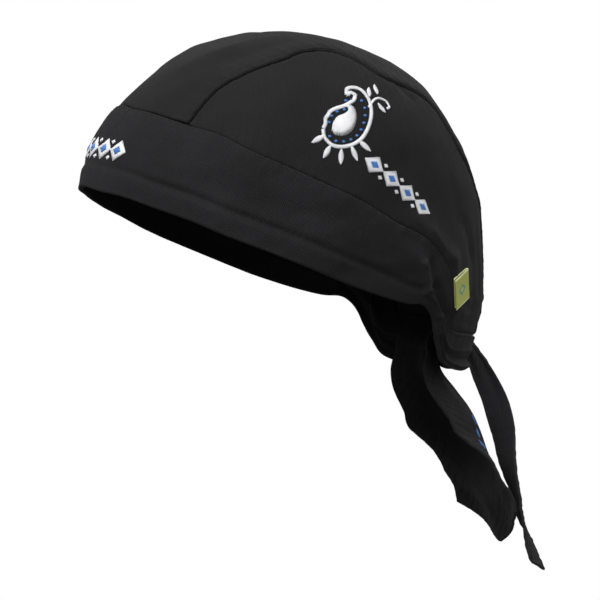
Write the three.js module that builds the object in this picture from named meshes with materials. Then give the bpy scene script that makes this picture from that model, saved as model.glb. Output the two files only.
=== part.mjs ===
// Head bandana: a sewn cap of black cotton with a folded brow band, tied at the nape over a neck flap.
// Millimetres, +Z up, -Y towards the face, +X towards the wearer's left.
// The origin is the inside of the crown's highest point, where the cap rests on the head.
import * as THREE from "three";

// Size of the worn crown, measured to its outside.
const crownHeight = 85; // from the widest level up to the top
const halfWidth = 77;
const frontReach = 97;
const backReach = 105.5;

// Cloth walls and the gap that two sewn pieces keep.
const cloth = 1.4;
const bandCloth = 2.5;
const flapCloth = 1.2;
const seamGap = 0.3;

// Brow band.
const bandProud = 1.6; // how far the band's face stands off the crown's
const hemWidth = 10;
const hemProud = 0.7;
const bandSwell = 0.35; // soft fullness between the seam and the hem

// Centre panel.
const panelHalfWidth = 48;
const seamWelt = 0.8; // height of the lapped seam
const weltWidth = 7;

// Neck flap, hung from inside the crown's back edge.
const flapLength = 87.3; // from the crown's back edge down to its side corners
const flapPoint = 18; // how far the middle point hangs below the corners
const flapHalfWidth = 42;
const flapTuck = 6; // how far its top edge runs up inside the crown
const flapRipple = 0.6; // depth of the soft waves across its lower edge
const flapWaves = 1.25; // waves from the middle to one side edge

// Knot and the two hanging tie ends.
const knotWidth = 24;
const knotDepth = 13;
const knotHeight = 15.5;
const turnReach = 0.34; // half width of the turn of cloth round the knot's middle, as a share of the knot
const grooveReach = 0.5; // where the grooves beside that turn lie, as a share
const grooveWidth = 0.14;
const turnSwell = 0.1; // how far the turn stands up, and the grooves sink, as shares of the knot's depth
const grooveSink = 0.07;
const lobeSlant = 0.036; // lean of the lobes
const tieWidth = 13;
const tieCloth = 1.8;
const tieLength = 117; // of the left end
const rightTieLength = 94; // of the right end, which lies on the flap
const tieCorners = 8; // corners of a tie's rounded strip
const tieFlatness = 1.45; // above 1 squares the strip's edges
const tipStart = 0.9; // where the slanted tip begins, as a share of the length
const tipSlant = 0.35; // rise of one corner over half the width

// Folded label in the band seam.
const labelHeight = 15.5;
const labelReach = 12.5;
const labelCloth = 0.5;
const labelGap = 0.7; // air between the label's two layers
const labelStation = 13.7; // where its middle is sewn in, in stations of the band
const labelLift = 8; // degrees it stands off the cloth

// Outline of the head under the cloth: each share multiplies a plain ellipsoid of the crown's sizes.
// The polar angle starts at the top, and 90 degrees is the widest level.
const headRows = [
  { polar: 0, front: 1.0, side: 1.0, back: 1.0 },
  { polar: 15, front: 0.979, side: 1.03, back: 0.983 },
  { polar: 30, front: 0.973, side: 1.065, back: 0.99 },
  { polar: 45, front: 0.971, side: 1.048, back: 1.0 },
  { polar: 60, front: 0.977, side: 1.022, back: 0.978 },
  { polar: 75, front: 0.983, side: 1.008, back: 0.966 },
  { polar: 90, front: 1.0, side: 1.0, back: 1.003 },
  { polar: 105, front: 1.02, side: 1.045, back: 1.06 },
  { polar: 119, front: 1.04, side: 1.105, back: 1.17 },
  { polar: 130, front: 1.07, side: 1.18, back: 1.27 },
  { polar: 142, front: 1.1, side: 1.27, back: 1.4 },
];

// Edges of the brow band from the middle of the face round to the nape, in degrees.
// Azimuth starts at the face and grows towards the ear.
const bandRows = [
  { station: 0, topAzimuth: 0, topPolar: 54.5, hemAzimuth: 0, hemPolar: 84.8 },
  { station: 1, topAzimuth: 15, topPolar: 56.3, hemAzimuth: 14, hemPolar: 86.2 },
  { station: 2, topAzimuth: 29.5, topPolar: 58.2, hemAzimuth: 27, hemPolar: 88 },
  { station: 3, topAzimuth: 46, topPolar: 62.5, hemAzimuth: 40.5, hemPolar: 91.8 },
  { station: 4, topAzimuth: 59, topPolar: 66.6, hemAzimuth: 51.6, hemPolar: 95.5 },
  { station: 5, topAzimuth: 69, topPolar: 72, hemAzimuth: 62, hemPolar: 100 },
  { station: 6, topAzimuth: 81, topPolar: 77.8, hemAzimuth: 74.5, hemPolar: 105 },
  { station: 7, topAzimuth: 93, topPolar: 84, hemAzimuth: 87, hemPolar: 110.2 },
  { station: 8, topAzimuth: 103, topPolar: 89.5, hemAzimuth: 98, hemPolar: 115 },
  { station: 9, topAzimuth: 112, topPolar: 95.7, hemAzimuth: 108, hemPolar: 118.4 },
  { station: 10, topAzimuth: 119.5, topPolar: 99.3, hemAzimuth: 117.5, hemPolar: 120.7 },
  { station: 11, topAzimuth: 125.5, topPolar: 103.2, hemAzimuth: 123.5, hemPolar: 121 },
  { station: 12, topAzimuth: 130.3, topPolar: 108, hemAzimuth: 127, hemPolar: 122.8 },
  { station: 13, topAzimuth: 134.5, topPolar: 113.8, hemAzimuth: 129.5, hemPolar: 125.4 },
  { station: 14, topAzimuth: 136.8, topPolar: 119.4, hemAzimuth: 131.8, hemPolar: 128.6 },
  { station: 15, topAzimuth: 138, topPolar: 124.5, hemAzimuth: 135.5, hemPolar: 132.4 },
  { station: 16, topAzimuth: 142, topPolar: 128, hemAzimuth: 141.5, hemPolar: 136.2 },
  { station: 17, topAzimuth: 156, topPolar: 128.7, hemAzimuth: 156, hemPolar: 137.3 },
  { station: 18, topAzimuth: 180, topPolar: 129.3, hemAzimuth: 180, hemPolar: 136.3 },
];
const napeStation = bandRows.at(-1).station;

// Half width of the centre panel, as a share, over the arc from the face (0) to the nape (180 and past).
const panelRows = [
  { arc: 30, width: 1.045 },
  { arc: 38, width: 1.035 },
  { arc: 47, width: 1.02 },
  { arc: 56, width: 1 },
  { arc: 70, width: 1 },
  { arc: 83, width: 0.98 },
  { arc: 90, width: 0.915 },
  { arc: 96, width: 0.87 },
  { arc: 103, width: 0.865 },
  { arc: 111, width: 0.91 },
  { arc: 118, width: 0.945 },
  { arc: 124, width: 0.905 },
  { arc: 130, width: 0.84 },
  { arc: 137, width: 0.775 },
  { arc: 143, width: 0.745 },
  { arc: 150, width: 0.735 },
  { arc: 159, width: 0.7 },
  { arc: 166, width: 0.59 },
  { arc: 176, width: 0.48 },
  { arc: 190, width: 0.36 },
  { arc: 205, width: 0.27 },
  { arc: 232, width: 0.21 },
];

// Folds and dents in the crown and the band: a ridge between two places, in degrees.
// Width is a share of the hem width and height a share of the crown's cloth.
// Mirrored folds lie on both sides.
const foldRows = [
  { azimuthA: 121, polarA: 96, azimuthB: 135, polarB: 108, width: 0.55, height: 1.5, mirrored: true },
  { azimuthA: 135, polarA: 108, azimuthB: 141, polarB: 122, width: 0.5, height: 1.3, mirrored: true },
  { azimuthA: 143, polarA: 97, azimuthB: 150, polarB: 106, width: 0.5, height: -0.9, mirrored: true },
  { azimuthA: 150, polarA: 106, azimuthB: 152, polarB: 120, width: 0.6, height: -1.0, mirrored: true },
  { azimuthA: 146, polarA: 123.5, azimuthB: 172, polarB: 123, width: 0.22, height: 0.9, mirrored: true },
  { azimuthA: 147, polarA: 127, azimuthB: 176, polarB: 127, width: 0.2, height: 0.9, mirrored: true },
  { azimuthA: 160, polarA: 108, azimuthB: 168, polarB: 121, width: 0.5, height: 0.9, mirrored: true },
  { azimuthA: 172, polarA: 60, azimuthB: 188, polarB: 60, width: 1.2, height: -0.8, mirrored: false },
  { azimuthA: 165, polarA: 71, azimuthB: 195, polarB: 71, width: 0.9, height: 0.7, mirrored: false },
  { azimuthA: 97, polarA: 107, azimuthB: 120, polarB: 108, width: 0.45, height: 0.7, mirrored: true },
  { azimuthA: 97, polarA: 111, azimuthB: 117, polarB: 112, width: 0.4, height: -0.6, mirrored: true },
];

// The neck flap from its tucked top edge down: reach and curl are shares of its half width.
// Reach is how far its middle lies behind the knot's middle, curl how far its edges bend to the neck.
const flapRows = [
  { share: 0, width: 0.52, reach: 0.165, curl: 0.55 },
  { share: 0.04, width: 0.525, reach: 0.07, curl: 0.5 },
  { share: 0.073, width: 0.53, reach: -0.1, curl: 0.4 },
  { share: 0.11, width: 0.545, reach: -0.19, curl: 0.32 },
  { share: 0.155, width: 0.56, reach: -0.2, curl: 0.29 },
  { share: 0.2, width: 0.578, reach: -0.212, curl: 0.31 },
  { share: 0.25, width: 0.6, reach: -0.175, curl: 0.36 },
  { share: 0.318, width: 0.64, reach: -0.045, curl: 0.465 },
  { share: 0.42, width: 0.72, reach: 0.155, curl: 0.57 },
  { share: 0.5, width: 0.785, reach: 0.295, curl: 0.605 },
  { share: 0.57, width: 0.83, reach: 0.37, curl: 0.615 },
  { share: 0.63, width: 0.88, reach: 0.405, curl: 0.5 },
  { share: 0.677, width: 0.915, reach: 0.415, curl: 0.375 },
  { share: 0.731, width: 0.94, reach: 0.415, curl: 0.25 },
  { share: 0.827, width: 0.97, reach: 0.45, curl: 0.155 },
  { share: 0.908, width: 0.99, reach: 0.555, curl: 0.14 },
  { share: 1, width: 1, reach: 0.655, curl: 0.195 },
];

// Hanging ties from the knot down: drop, out and aside are shares of the tie's length.
// Turn is the strip's heading in degrees, from the back towards the side.
// Width is a share of the strip's full width.
const leftTieRows = [
  { share: 0, drop: 0, out: 0, aside: 0, turn: 18, width: 0.36 },
  { share: 0.036, drop: 0.037, out: 0.023, aside: 0.007, turn: 18, width: 0.55 },
  { share: 0.073, drop: 0.071, out: 0.038, aside: 0.013, turn: 20, width: 0.76 },
  { share: 0.163, drop: 0.156, out: 0.076, aside: 0.026, turn: 20, width: 1 },
  { share: 0.256, drop: 0.242, out: 0.111, aside: 0.038, turn: 24, width: 1.06 },
  { share: 0.346, drop: 0.327, out: 0.133, aside: 0.047, turn: 33, width: 1.06 },
  { share: 0.433, drop: 0.413, out: 0.147, aside: 0.056, turn: 54, width: 1.02 },
  { share: 0.521, drop: 0.498, out: 0.16, aside: 0.064, turn: 67, width: 1 },
  { share: 0.609, drop: 0.584, out: 0.17, aside: 0.073, turn: 83, width: 1 },
  { share: 0.697, drop: 0.669, out: 0.2, aside: 0.081, turn: 94, width: 1 },
  { share: 0.787, drop: 0.755, out: 0.216, aside: 0.085, turn: 101, width: 1 },
  { share: 0.879, drop: 0.84, out: 0.24, aside: 0.09, turn: 121, width: 1 },
  { share: 0.969, drop: 0.926, out: 0.279, aside: 0.09, turn: 136, width: 1 },
  { share: 1, drop: 0.96, out: 0.298, aside: 0.09, turn: 140, width: 0.95 },
];
const rightTieRows = [
  { share: 0, drop: 0, out: 0, aside: 0, turn: 20, width: 0.4 },
  { share: 0.06, drop: 0.048, out: -0.027, aside: -0.03, turn: 30, width: 0.6 },
  { share: 0.133, drop: 0.106, out: -0.059, aside: -0.062, turn: 42, width: 0.85 },
  { share: 0.213, drop: 0.181, out: -0.076, aside: -0.088, turn: 40, width: 1 },
  { share: 0.302, drop: 0.266, out: -0.022, aside: -0.115, turn: 38, width: 1 },
  { share: 0.42, drop: 0.372, out: 0.048, aside: -0.136, turn: 41, width: 1 },
  { share: 0.546, drop: 0.479, out: 0.118, aside: -0.147, turn: 56, width: 1 },
  { share: 0.673, drop: 0.585, out: 0.193, aside: -0.152, turn: 67, width: 1 },
  { share: 0.798, drop: 0.691, out: 0.242, aside: -0.152, turn: 79, width: 1 },
  { share: 0.91, drop: 0.798, out: 0.297, aside: -0.141, turn: 82, width: 1 },
  { share: 1, drop: 0.883, out: 0.33, aside: -0.131, turn: 82, width: 0.95 },
];

// How finely the pieces are divided.
const panelSteps = { along: 30, across: 10 };
const bandSteps = { along: 68, across: 7 };
const flapSteps = { along: 20, across: 10 };
const tieSteps = 22;
const cornerInset = 0.08; // stations of the band kept clear at a side panel's corners
const cornerEase = 0.35; // how much closer the side panel's columns stand at its two ends

const blackCotton = { color: 0x1e1e20, roughness: 0.9, metalness: 0 };
const bandCotton = { color: 0x1f1f24, roughness: 0.88, metalness: 0 };
const labelWeave = { color: 0xd3d64c, roughness: 0.7, metalness: 0 };

const degrees = Math.PI / 180;
const up = new THREE.Vector3(0, 0, 1);
const face = new THREE.Vector3(0, -1, 0);
const headCentre = cloth - crownHeight;

// Reads one column of a table at a place between its rows, as a smooth curve; a level one ends flat.
function read(rows, place, column, at, level = false) {
  const last = rows.length - 1;
  let i = 0;
  while (i < last - 1 && at > rows[i + 1][place]) i += 1;
  const slope = (j) => {
    if (level && (j === 0 || j === last)) return 0;
    const before = rows[Math.max(j - 1, 0)];
    const after = rows[Math.min(j + 1, last)];
    return (after[column] - before[column]) / (after[place] - before[place]);
  };
  const span = rows[i + 1][place] - rows[i][place];
  const t = THREE.MathUtils.clamp((at - rows[i][place]) / span, 0, 1);
  const rise = t * t * (3 - 2 * t);
  const leave = t * (1 - t) * (1 - t) * span * slope(i);
  const arrive = t * t * (t - 1) * span * slope(i + 1);
  return THREE.MathUtils.lerp(rows[i][column], rows[i + 1][column], rise) + leave + arrive;
}

// Unit direction from the head's centre, by azimuth from the face and polar angle from the top.
function heading(azimuth, polar) {
  const a = azimuth * degrees;
  const p = polar * degrees;
  return new THREE.Vector3(Math.sin(p) * Math.sin(a), -Math.sin(p) * Math.cos(a), Math.cos(p));
}

// Unit direction on the arc over the head from the face (0) to the back (180), moved aside by a width.
function archHeading(arc, aside) {
  const sideways = THREE.MathUtils.clamp(aside / halfWidth, -0.99, 0.99);
  const ahead = Math.sqrt(1 - sideways * sideways);
  return new THREE.Vector3(
    sideways,
    -ahead * Math.cos(arc * degrees),
    ahead * Math.sin(arc * degrees),
  );
}

// The smooth outside of the crown in one direction.
function headForm(direction) {
  const polar = Math.acos(THREE.MathUtils.clamp(direction.z, -1, 1)) / degrees;
  const flat = direction.x * direction.x + direction.y * direction.y;
  const lengthwise = flat > 0 ? (direction.y * direction.y) / flat : 0;
  const end = direction.y < 0 ? "front" : "back";
  const share =
    read(headRows, "polar", end, polar, true) * lengthwise +
    read(headRows, "polar", "side", polar, true) * (1 - lengthwise);
  const reach = direction.y < 0 ? frontReach : backReach;
  return new THREE.Vector3(
    share * halfWidth * direction.x,
    share * reach * direction.y,
    share * crownHeight * direction.z + headCentre,
  );
}

// Height of the folds at one direction.
function foldHeight(direction) {
  let height = 0;
  for (const fold of foldRows) {
    for (const side of fold.mirrored ? [1, -1] : [1]) {
      const from = heading(side * fold.azimuthA, fold.polarA);
      const to = heading(side * fold.azimuthB, fold.polarB);
      const nearest = new THREE.Line3(from, to).closestPointToPoint(direction, true, new THREE.Vector3());
      const away = (nearest.distanceTo(direction) * crownHeight) / (fold.width * hemWidth);
      height += fold.height * cloth * Math.exp(-away * away);
    }
  }
  return height;
}

// A point of the cloth: the head's form with its folds, lifted along the outward normal.
function onHead(direction, lift) {
  const small = 1e-3;
  const side = Math.abs(direction.z) < 0.9 ? up : face;
  const across = new THREE.Vector3().crossVectors(side, direction).normalize();
  const along = new THREE.Vector3().crossVectors(direction, across);
  const here = headForm(direction);
  const east = headForm(direction.clone().addScaledVector(across, small).normalize()).sub(here);
  const south = headForm(direction.clone().addScaledVector(along, small).normalize()).sub(here);
  const normal = east.cross(south).normalize();
  return here.addScaledVector(normal, lift + foldHeight(direction));
}

// Joins rings of points into one closed body with a flat fan at each end.
function loft(rings) {
  const count = rings[0].length;
  const points = rings.flat();
  const index = [];
  for (let r = 0; r < rings.length - 1; r += 1) {
    for (let i = 0; i < count; i += 1) {
      const a = r * count + i;
      const b = r * count + ((i + 1) % count);
      index.push(a, b, b + count, a, b + count, a + count);
    }
  }
  const end = (rings.length - 1) * count;
  for (let i = 1; i < count - 1; i += 1) {
    index.push(0, i + 1, i);
    index.push(end, end + i, end + i + 1);
  }
  return geometryOf(points, index);
}

function geometryOf(points, index) {
  const geometry = new THREE.BufferGeometry().setFromPoints(points);
  geometry.setIndex(index);
  geometry.computeVertexNormals();
  return geometry;
}

// A closed wall of cloth: pointAt gives its outer (1) and inner (0) faces over a grid from 0 to 1.
function clothWall(steps, pointAt) {
  const points = [];
  const columns = steps.across + 1;
  const layer = columns * (steps.along + 1);
  for (const outer of [1, 0]) {
    for (let j = 0; j <= steps.along; j += 1) {
      for (let i = 0; i <= steps.across; i += 1) {
        points.push(pointAt(j / steps.along, i / steps.across, outer));
      }
    }
  }
  const index = [];
  const quad = (a, b, c, d) => index.push(a, b, c, a, c, d);
  for (let j = 0; j < steps.along; j += 1) {
    for (let i = 0; i < steps.across; i += 1) {
      const a = j * columns + i;
      quad(a, a + 1, a + 1 + columns, a + columns);
      quad(layer + a, layer + a + columns, layer + a + 1 + columns, layer + a + 1);
    }
  }
  for (let i = 0; i < steps.across; i += 1) {
    const end = steps.along * columns + i;
    quad(i, layer + i, layer + i + 1, i + 1);
    quad(end, end + 1, layer + end + 1, layer + end);
  }
  for (let j = 0; j < steps.along; j += 1) {
    const low = j * columns;
    const high = low + steps.across;
    quad(low, low + columns, layer + low + columns, layer + low);
    quad(high, layer + high, layer + high + columns, high + columns);
  }
  return geometryOf(points, index);
}

function named(name, geometry, look) {
  const mesh = new THREE.Mesh(geometry, new THREE.MeshStandardMaterial(look));
  mesh.name = name;
  return mesh;
}

// Directions of the band's two edges at a station; side is 1 for left and -1 for right.
function bandTop(station, side) {
  const azimuth = read(bandRows, "station", "topAzimuth", station);
  return heading(side * azimuth, read(bandRows, "station", "topPolar", station, true));
}

function bandHem(station, side) {
  const azimuth = read(bandRows, "station", "hemAzimuth", station);
  return heading(side * azimuth, read(bandRows, "station", "hemPolar", station, true));
}

// Direction of the centre panel's seam at an arc, moved outward by a gap.
function panelSeam(arc, gap) {
  return archHeading(arc, panelHalfWidth * read(panelRows, "arc", "width", arc) + gap);
}

// Finds where a steadily rising or falling test passes zero between two places.
function crossing(test, low, high) {
  let a = low;
  let b = high;
  const rising = test(b) > test(a);
  for (let n = 0; n < 40; n += 1) {
    const middle = (a + b) / 2;
    if (test(middle) > 0 === rising) b = middle;
    else a = middle;
  }
  return (a + b) / 2;
}

// Where a direction lies on the arc from the face over the top to the nape, in degrees.
function arcOf(direction) {
  const arc = Math.atan2(direction.z, -direction.y) / degrees;
  return arc < -90 ? arc + 360 : arc;
}

// The station where the band's top edge passes a place aside, near the face or near the nape.
function stationAside(aside, low, high) {
  return crossing((station) => bandTop(station, 1).x - Math.abs(aside) / halfWidth, low, high);
}

const widestStation = 7;

// Stations where the centre seam meets the band, at the face and at the nape.
function seamMeets(low, high) {
  return crossing((station) => {
    const edge = bandTop(station, 1);
    return edge.x - panelSeam(arcOf(edge), 0).x;
  }, low, high);
}
const faceMeeting = seamMeets(0, widestStation);
const napeMeeting = seamMeets(widestStation, napeStation);

// A seam gap as an angle on the head, in degrees.
const seamMargin = seamGap / crownHeight / degrees;

// The arcs where the crown's edge lies at a share of the centre panel's width.
function arcsAside(share) {
  const faceAside = share * halfWidth * bandTop(faceMeeting, 1).x;
  const napeAside = share * halfWidth * bandTop(napeMeeting, 1).x;
  return {
    start: arcOf(bandTop(stationAside(faceAside, 0, widestStation), 1)) + seamMargin,
    finish: arcOf(bandTop(stationAside(napeAside, widestStation, napeStation), 1)) - seamMargin,
  };
}

function centrePanel() {
  return clothWall(panelSteps, (along, across, outer) => {
    const share = across * 2 - 1;
    const { start, finish } = arcsAside(share);
    const arc = THREE.MathUtils.lerp(start, finish, along);
    const seam = panelHalfWidth * read(panelRows, "arc", "width", arc) - seamGap / 2;
    const fromSeam = (1 - Math.abs(share)) * seam;
    const welt = seamWelt * Math.exp(-(((fromSeam - weltWidth / 2) / (weltWidth / 2)) ** 2));
    return onHead(archHeading(arc, share * seam), outer ? welt : -cloth);
  });
}

// A side panel fills the crown between the centre seam and the band, on the same arcs as the centre panel.
function sidePanel(side) {
  const { start, finish } = arcsAside(1);
  return clothWall(panelSteps, (along, across, outer) => {
    const even = 0.5 - 0.5 * Math.cos(Math.PI * along);
    const eased = THREE.MathUtils.lerp(along, even, cornerEase);
    const lowStart = faceMeeting + cornerInset;
    const lowFinish = napeMeeting - cornerInset / 2;
    const low = bandTop(THREE.MathUtils.lerp(lowStart, lowFinish, eased), 1);
    const high = panelSeam(THREE.MathUtils.lerp(start, finish, along), seamGap / 2);
    const margin = seamGap / crownHeight / high.distanceTo(low);
    const down = side > 0 ? across : 1 - across;
    const direction = high.lerp(low, down * (1 - margin)).normalize();
    direction.x *= side;
    return onHead(direction, outer ? 0 : -cloth);
  });
}

// The band's face: a flat step at the seam, a slight hollow, and the doubled hem at its lower edge.
function bandFace(share, width) {
  const fromHem = (1 - share) * width;
  const hemEdge = hemWidth / 4; // width of the step down from the hem
  const hem = hemProud * THREE.MathUtils.smoothstep(hemWidth + hemEdge - fromHem, 0, hemEdge);
  return bandProud + hem + bandSwell * Math.sin(Math.PI * share);
}

function browBand() {
  const besideKnot = knotWidth / 2 + seamGap * 2;
  const endStation = crossing((station) => {
    return onHead(bandHem(station, 1), 0).x - besideKnot;
  }, napeStation - 1, napeStation);
  return clothWall(bandSteps, (along, across, outer) => {
    const signed = (along * 2 - 1) * endStation;
    const side = Math.sign(signed) || 1;
    const station = Math.abs(signed);
    const top = bandTop(station, side);
    const hem = bandHem(station, side);
    const width = onHead(top, 0).distanceTo(onHead(hem, 0));
    const direction = hem.lerp(top, 1 - across).normalize();
    const inner = bandProud - bandCloth;
    return onHead(direction, outer ? bandFace(across, width) : inner);
  });
}

// Place of the knot: behind the crown's lower edge at the nape, standing outside the neck flap.
const napeEdge = onHead(heading(180, bandRows.at(-1).topPolar), 0);
const knotPlace = new THREE.Vector3(
  0,
  napeEdge.y - knotDepth / 2 - cloth,
  napeEdge.z - knotHeight / 2 - seamGap * 2,
);

// A soft knot: one turn of cloth drawn tight over two lobes.
function knot() {
  const ball = new THREE.SphereGeometry(1, 22, 14);
  ball.deleteAttribute("normal");
  ball.deleteAttribute("uv");
  const place = ball.getAttribute("position");
  const p = new THREE.Vector3();
  for (let i = 0; i < place.count; i += 1) {
    p.fromBufferAttribute(place, i);
    const turn = Math.exp(-((p.x / turnReach) ** 2));
    const groove = Math.exp(-(((Math.abs(p.x) - grooveReach) / grooveWidth) ** 2));
    const swell = 1 - turnSwell * (1 - turn) - grooveSink * groove;
    const lean = 1 + lobeSlant * Math.sign(p.x) * (1 - turn);
    p.set(
      (p.x * knotWidth) / 2,
      p.y * swell * (knotDepth / 2),
      p.z * lean * swell * (knotHeight / 2),
    );
    place.setXYZ(i, p.x, p.y, p.z);
  }
  return ball;
}

// The neck flap hangs from inside the crown's back edge, passes inside the knot and spreads over the neck.
function neckFlap() {
  const top = napeEdge.z + flapTuck;
  return clothWall(flapSteps, (along, across, outer) => {
    const share = across * 2 - 1;
    const width = flapHalfWidth * read(flapRows, "share", "width", along);
    const reach = knotPlace.y + flapHalfWidth * read(flapRows, "share", "reach", along);
    const curl = flapHalfWidth * read(flapRows, "share", "curl", along) * share * share;
    const ripple = flapRipple * along * Math.sin(share * flapWaves * 2 * Math.PI);
    const fall = along * (flapLength + flapTuck) + flapPoint * (1 - Math.abs(share)) * along * along;
    const middle = reach - curl + ripple;
    const half = (outer ? 1 : -1) * (flapCloth / 2);
    return new THREE.Vector3(share * width, middle + half, top - fall);
  });
}

// A flat tie end: a thin rounded strip that turns as it falls, cut aslant at its tip.
function tieEnd(rows, start, length) {
  const rings = [];
  for (let n = 0; n <= tieSteps; n += 1) {
    const share = n / tieSteps;
    const at = (column) => read(rows, "share", column, share);
    const turn = at("turn") * degrees;
    const half = (at("width") * tieWidth) / 2;
    const wide = new THREE.Vector3(Math.sin(turn), Math.cos(turn), 0);
    const thin = new THREE.Vector3(Math.cos(turn), -Math.sin(turn), 0);
    const slant = (tipSlant * Math.max(share - tipStart, 0)) / (1 - tipStart);
    const ring = [];
    for (let c = 0; c < tieCorners; c += 1) {
      const angle = ((c + 0.5) / tieCorners) * Math.PI * 2;
      const w = THREE.MathUtils.clamp(Math.cos(angle) * tieFlatness, -1, 1);
      const t = Math.sin(angle);
      ring.push(
        start
          .clone()
          .add(new THREE.Vector3(at("aside"), at("out"), -at("drop")).multiplyScalar(length))
          .addScaledVector(wide, w * half)
          .addScaledVector(thin, (t * tieCloth) / 2)
          .addScaledVector(up, slant * w * half),
      );
    }
    rings.push(ring);
  }
  return loft(rings);
}

// The label: a folded strip of weave whose two layers meet in a round fold away from the seam.
function sideLabel() {
  const layer = labelCloth;
  const half = labelGap / 2 + layer;
  const outline = new THREE.Shape();
  outline.moveTo(0, -half);
  outline.lineTo(labelReach - half, -half);
  outline.absarc(labelReach - half, 0, half, -Math.PI / 2, Math.PI / 2, false);
  outline.lineTo(0, half);
  outline.lineTo(0, half - layer);
  outline.lineTo(labelReach - half, half - layer);
  outline.absarc(labelReach - half, 0, half - layer, Math.PI / 2, -Math.PI / 2, true);
  outline.lineTo(0, layer - half);
  outline.closePath();
  return new THREE.ExtrudeGeometry(outline, { depth: labelHeight, bevelEnabled: false, curveSegments: 6 });
}

// The label stands on the crown beside the band seam behind the left ear.
function placeLabel(label) {
  const seat = bandTop(labelStation, 1);
  const middle = onHead(seat, 0);
  const above = onHead(bandTop(labelStation - 0.5, 1), 0);
  const below = onHead(bandTop(labelStation + 0.5, 1), 0);
  const along = above.sub(below).normalize();
  const outward = onHead(seat, 1).sub(middle);
  const back = new THREE.Vector3().crossVectors(along, outward).normalize();
  const lift = labelLift * degrees;
  const reach = back.clone().multiplyScalar(Math.cos(lift)).addScaledVector(outward, Math.sin(lift));
  const normal = new THREE.Vector3().crossVectors(along, reach).normalize();
  const foot = middle.addScaledVector(along, -labelHeight / 2);
  foot.addScaledVector(outward, labelGap / 2 + labelCloth + seamGap * 2).addScaledVector(reach, seamGap);
  label.matrixAutoUpdate = false;
  label.matrix.makeBasis(reach, normal, along).setPosition(foot);
  return label;
}

const bandana = new THREE.Group();
bandana.add(named("crown_centre_panel", centrePanel(), blackCotton));
bandana.add(named("crown_side_left", sidePanel(1), blackCotton));
bandana.add(named("crown_side_right", sidePanel(-1), blackCotton));
bandana.add(named("brow_band", browBand(), bandCotton));

const knotMesh = named("knot", knot(), blackCotton);
knotMesh.position.copy(knotPlace);
bandana.add(knotMesh);

// The left end leaves over the knot's outer face, the right one past its far side.
const leftStart = knotPlace.clone();
leftStart.x += knotWidth * 0.1;
leftStart.y += knotDepth / 2 + tieCloth;
leftStart.z += knotHeight * 0.21;
const rightStart = knotPlace.clone();
rightStart.x -= knotWidth / 2 + tieCloth;
rightStart.y -= knotDepth / 6;
bandana.add(named("tie_left", tieEnd(leftTieRows, leftStart, tieLength), blackCotton));
bandana.add(named("tie_right", tieEnd(rightTieRows, rightStart, rightTieLength), blackCotton));
bandana.add(named("neck_flap", neckFlap(), blackCotton));
bandana.add(placeLabel(named("side_label", sideLabel(), labelWeave)));

export default bandana;
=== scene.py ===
# %% [markdown]
# # A black cotton head bandana
# This is a workshop cap: a centre panel and two side panels sewn into a crown, a doubled brow band,
# a knot at the nape with two hanging ends, and a tail of thin cloth below it.
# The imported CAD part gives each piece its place. Here each one is cut again as fine cloth, with the
# seams, hems, folds, stitches and weave that a solid made for weight and collision does not carry.

# %% Load the frame
import math
import bpy
import numpy as np
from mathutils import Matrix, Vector


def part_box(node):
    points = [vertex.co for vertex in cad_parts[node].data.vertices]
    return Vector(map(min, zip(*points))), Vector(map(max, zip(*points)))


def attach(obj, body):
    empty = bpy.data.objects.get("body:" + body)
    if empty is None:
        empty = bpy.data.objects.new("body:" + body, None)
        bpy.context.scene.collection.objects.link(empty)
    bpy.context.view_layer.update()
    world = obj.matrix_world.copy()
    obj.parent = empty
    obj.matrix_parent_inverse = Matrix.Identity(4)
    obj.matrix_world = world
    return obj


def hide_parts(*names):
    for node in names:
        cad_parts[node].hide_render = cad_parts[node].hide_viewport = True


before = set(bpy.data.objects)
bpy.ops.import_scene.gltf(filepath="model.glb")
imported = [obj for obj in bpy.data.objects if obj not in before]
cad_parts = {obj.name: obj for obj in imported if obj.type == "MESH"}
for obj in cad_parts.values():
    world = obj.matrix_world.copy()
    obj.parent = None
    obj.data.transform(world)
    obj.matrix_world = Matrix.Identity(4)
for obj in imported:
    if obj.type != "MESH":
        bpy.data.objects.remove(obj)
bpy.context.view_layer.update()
mm = 0.001
print("nodes in the frame:", sorted(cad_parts))

# %% [markdown]
# ## The camera
# The cap was seen from its left side and a little from the front, from far away, so the perspective
# is weak. A long lens three metres off gives that look. The aim point sits beside the cap's middle,
# because the picture leaves more room on the left, where the brow is.

# %% Place the camera
view_azimuth = math.radians(72)
view_elevation = math.radians(2)
view_distance = 3.0
sensor_width = 36
picture_width = 0.3  # how much of the world the picture spans at the cap
picture_middle_height = -0.1328
picture_middle_aside = 0.01415

to_camera = Vector((
    math.sin(view_azimuth) * math.cos(view_elevation),
    -math.cos(view_azimuth) * math.cos(view_elevation),
    math.sin(view_elevation),
))
picture_right = Vector((math.cos(view_azimuth), math.sin(view_azimuth), 0))
aim = Vector((0, 0, picture_middle_height)) + picture_right * picture_middle_aside

camera_data = bpy.data.cameras.new("camera")
camera_data.sensor_width = sensor_width
camera_data.lens = sensor_width * view_distance / picture_width
camera_data.clip_end = 30
camera = bpy.data.objects.new("camera", camera_data)
camera.location = aim + to_camera * view_distance
camera.rotation_euler = to_camera.to_track_quat("Z", "Y").to_euler()
bpy.context.scene.collection.objects.link(camera)
bpy.context.scene.camera = camera
print("camera lens", round(camera_data.lens), "mm at", view_distance, "m")
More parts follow.
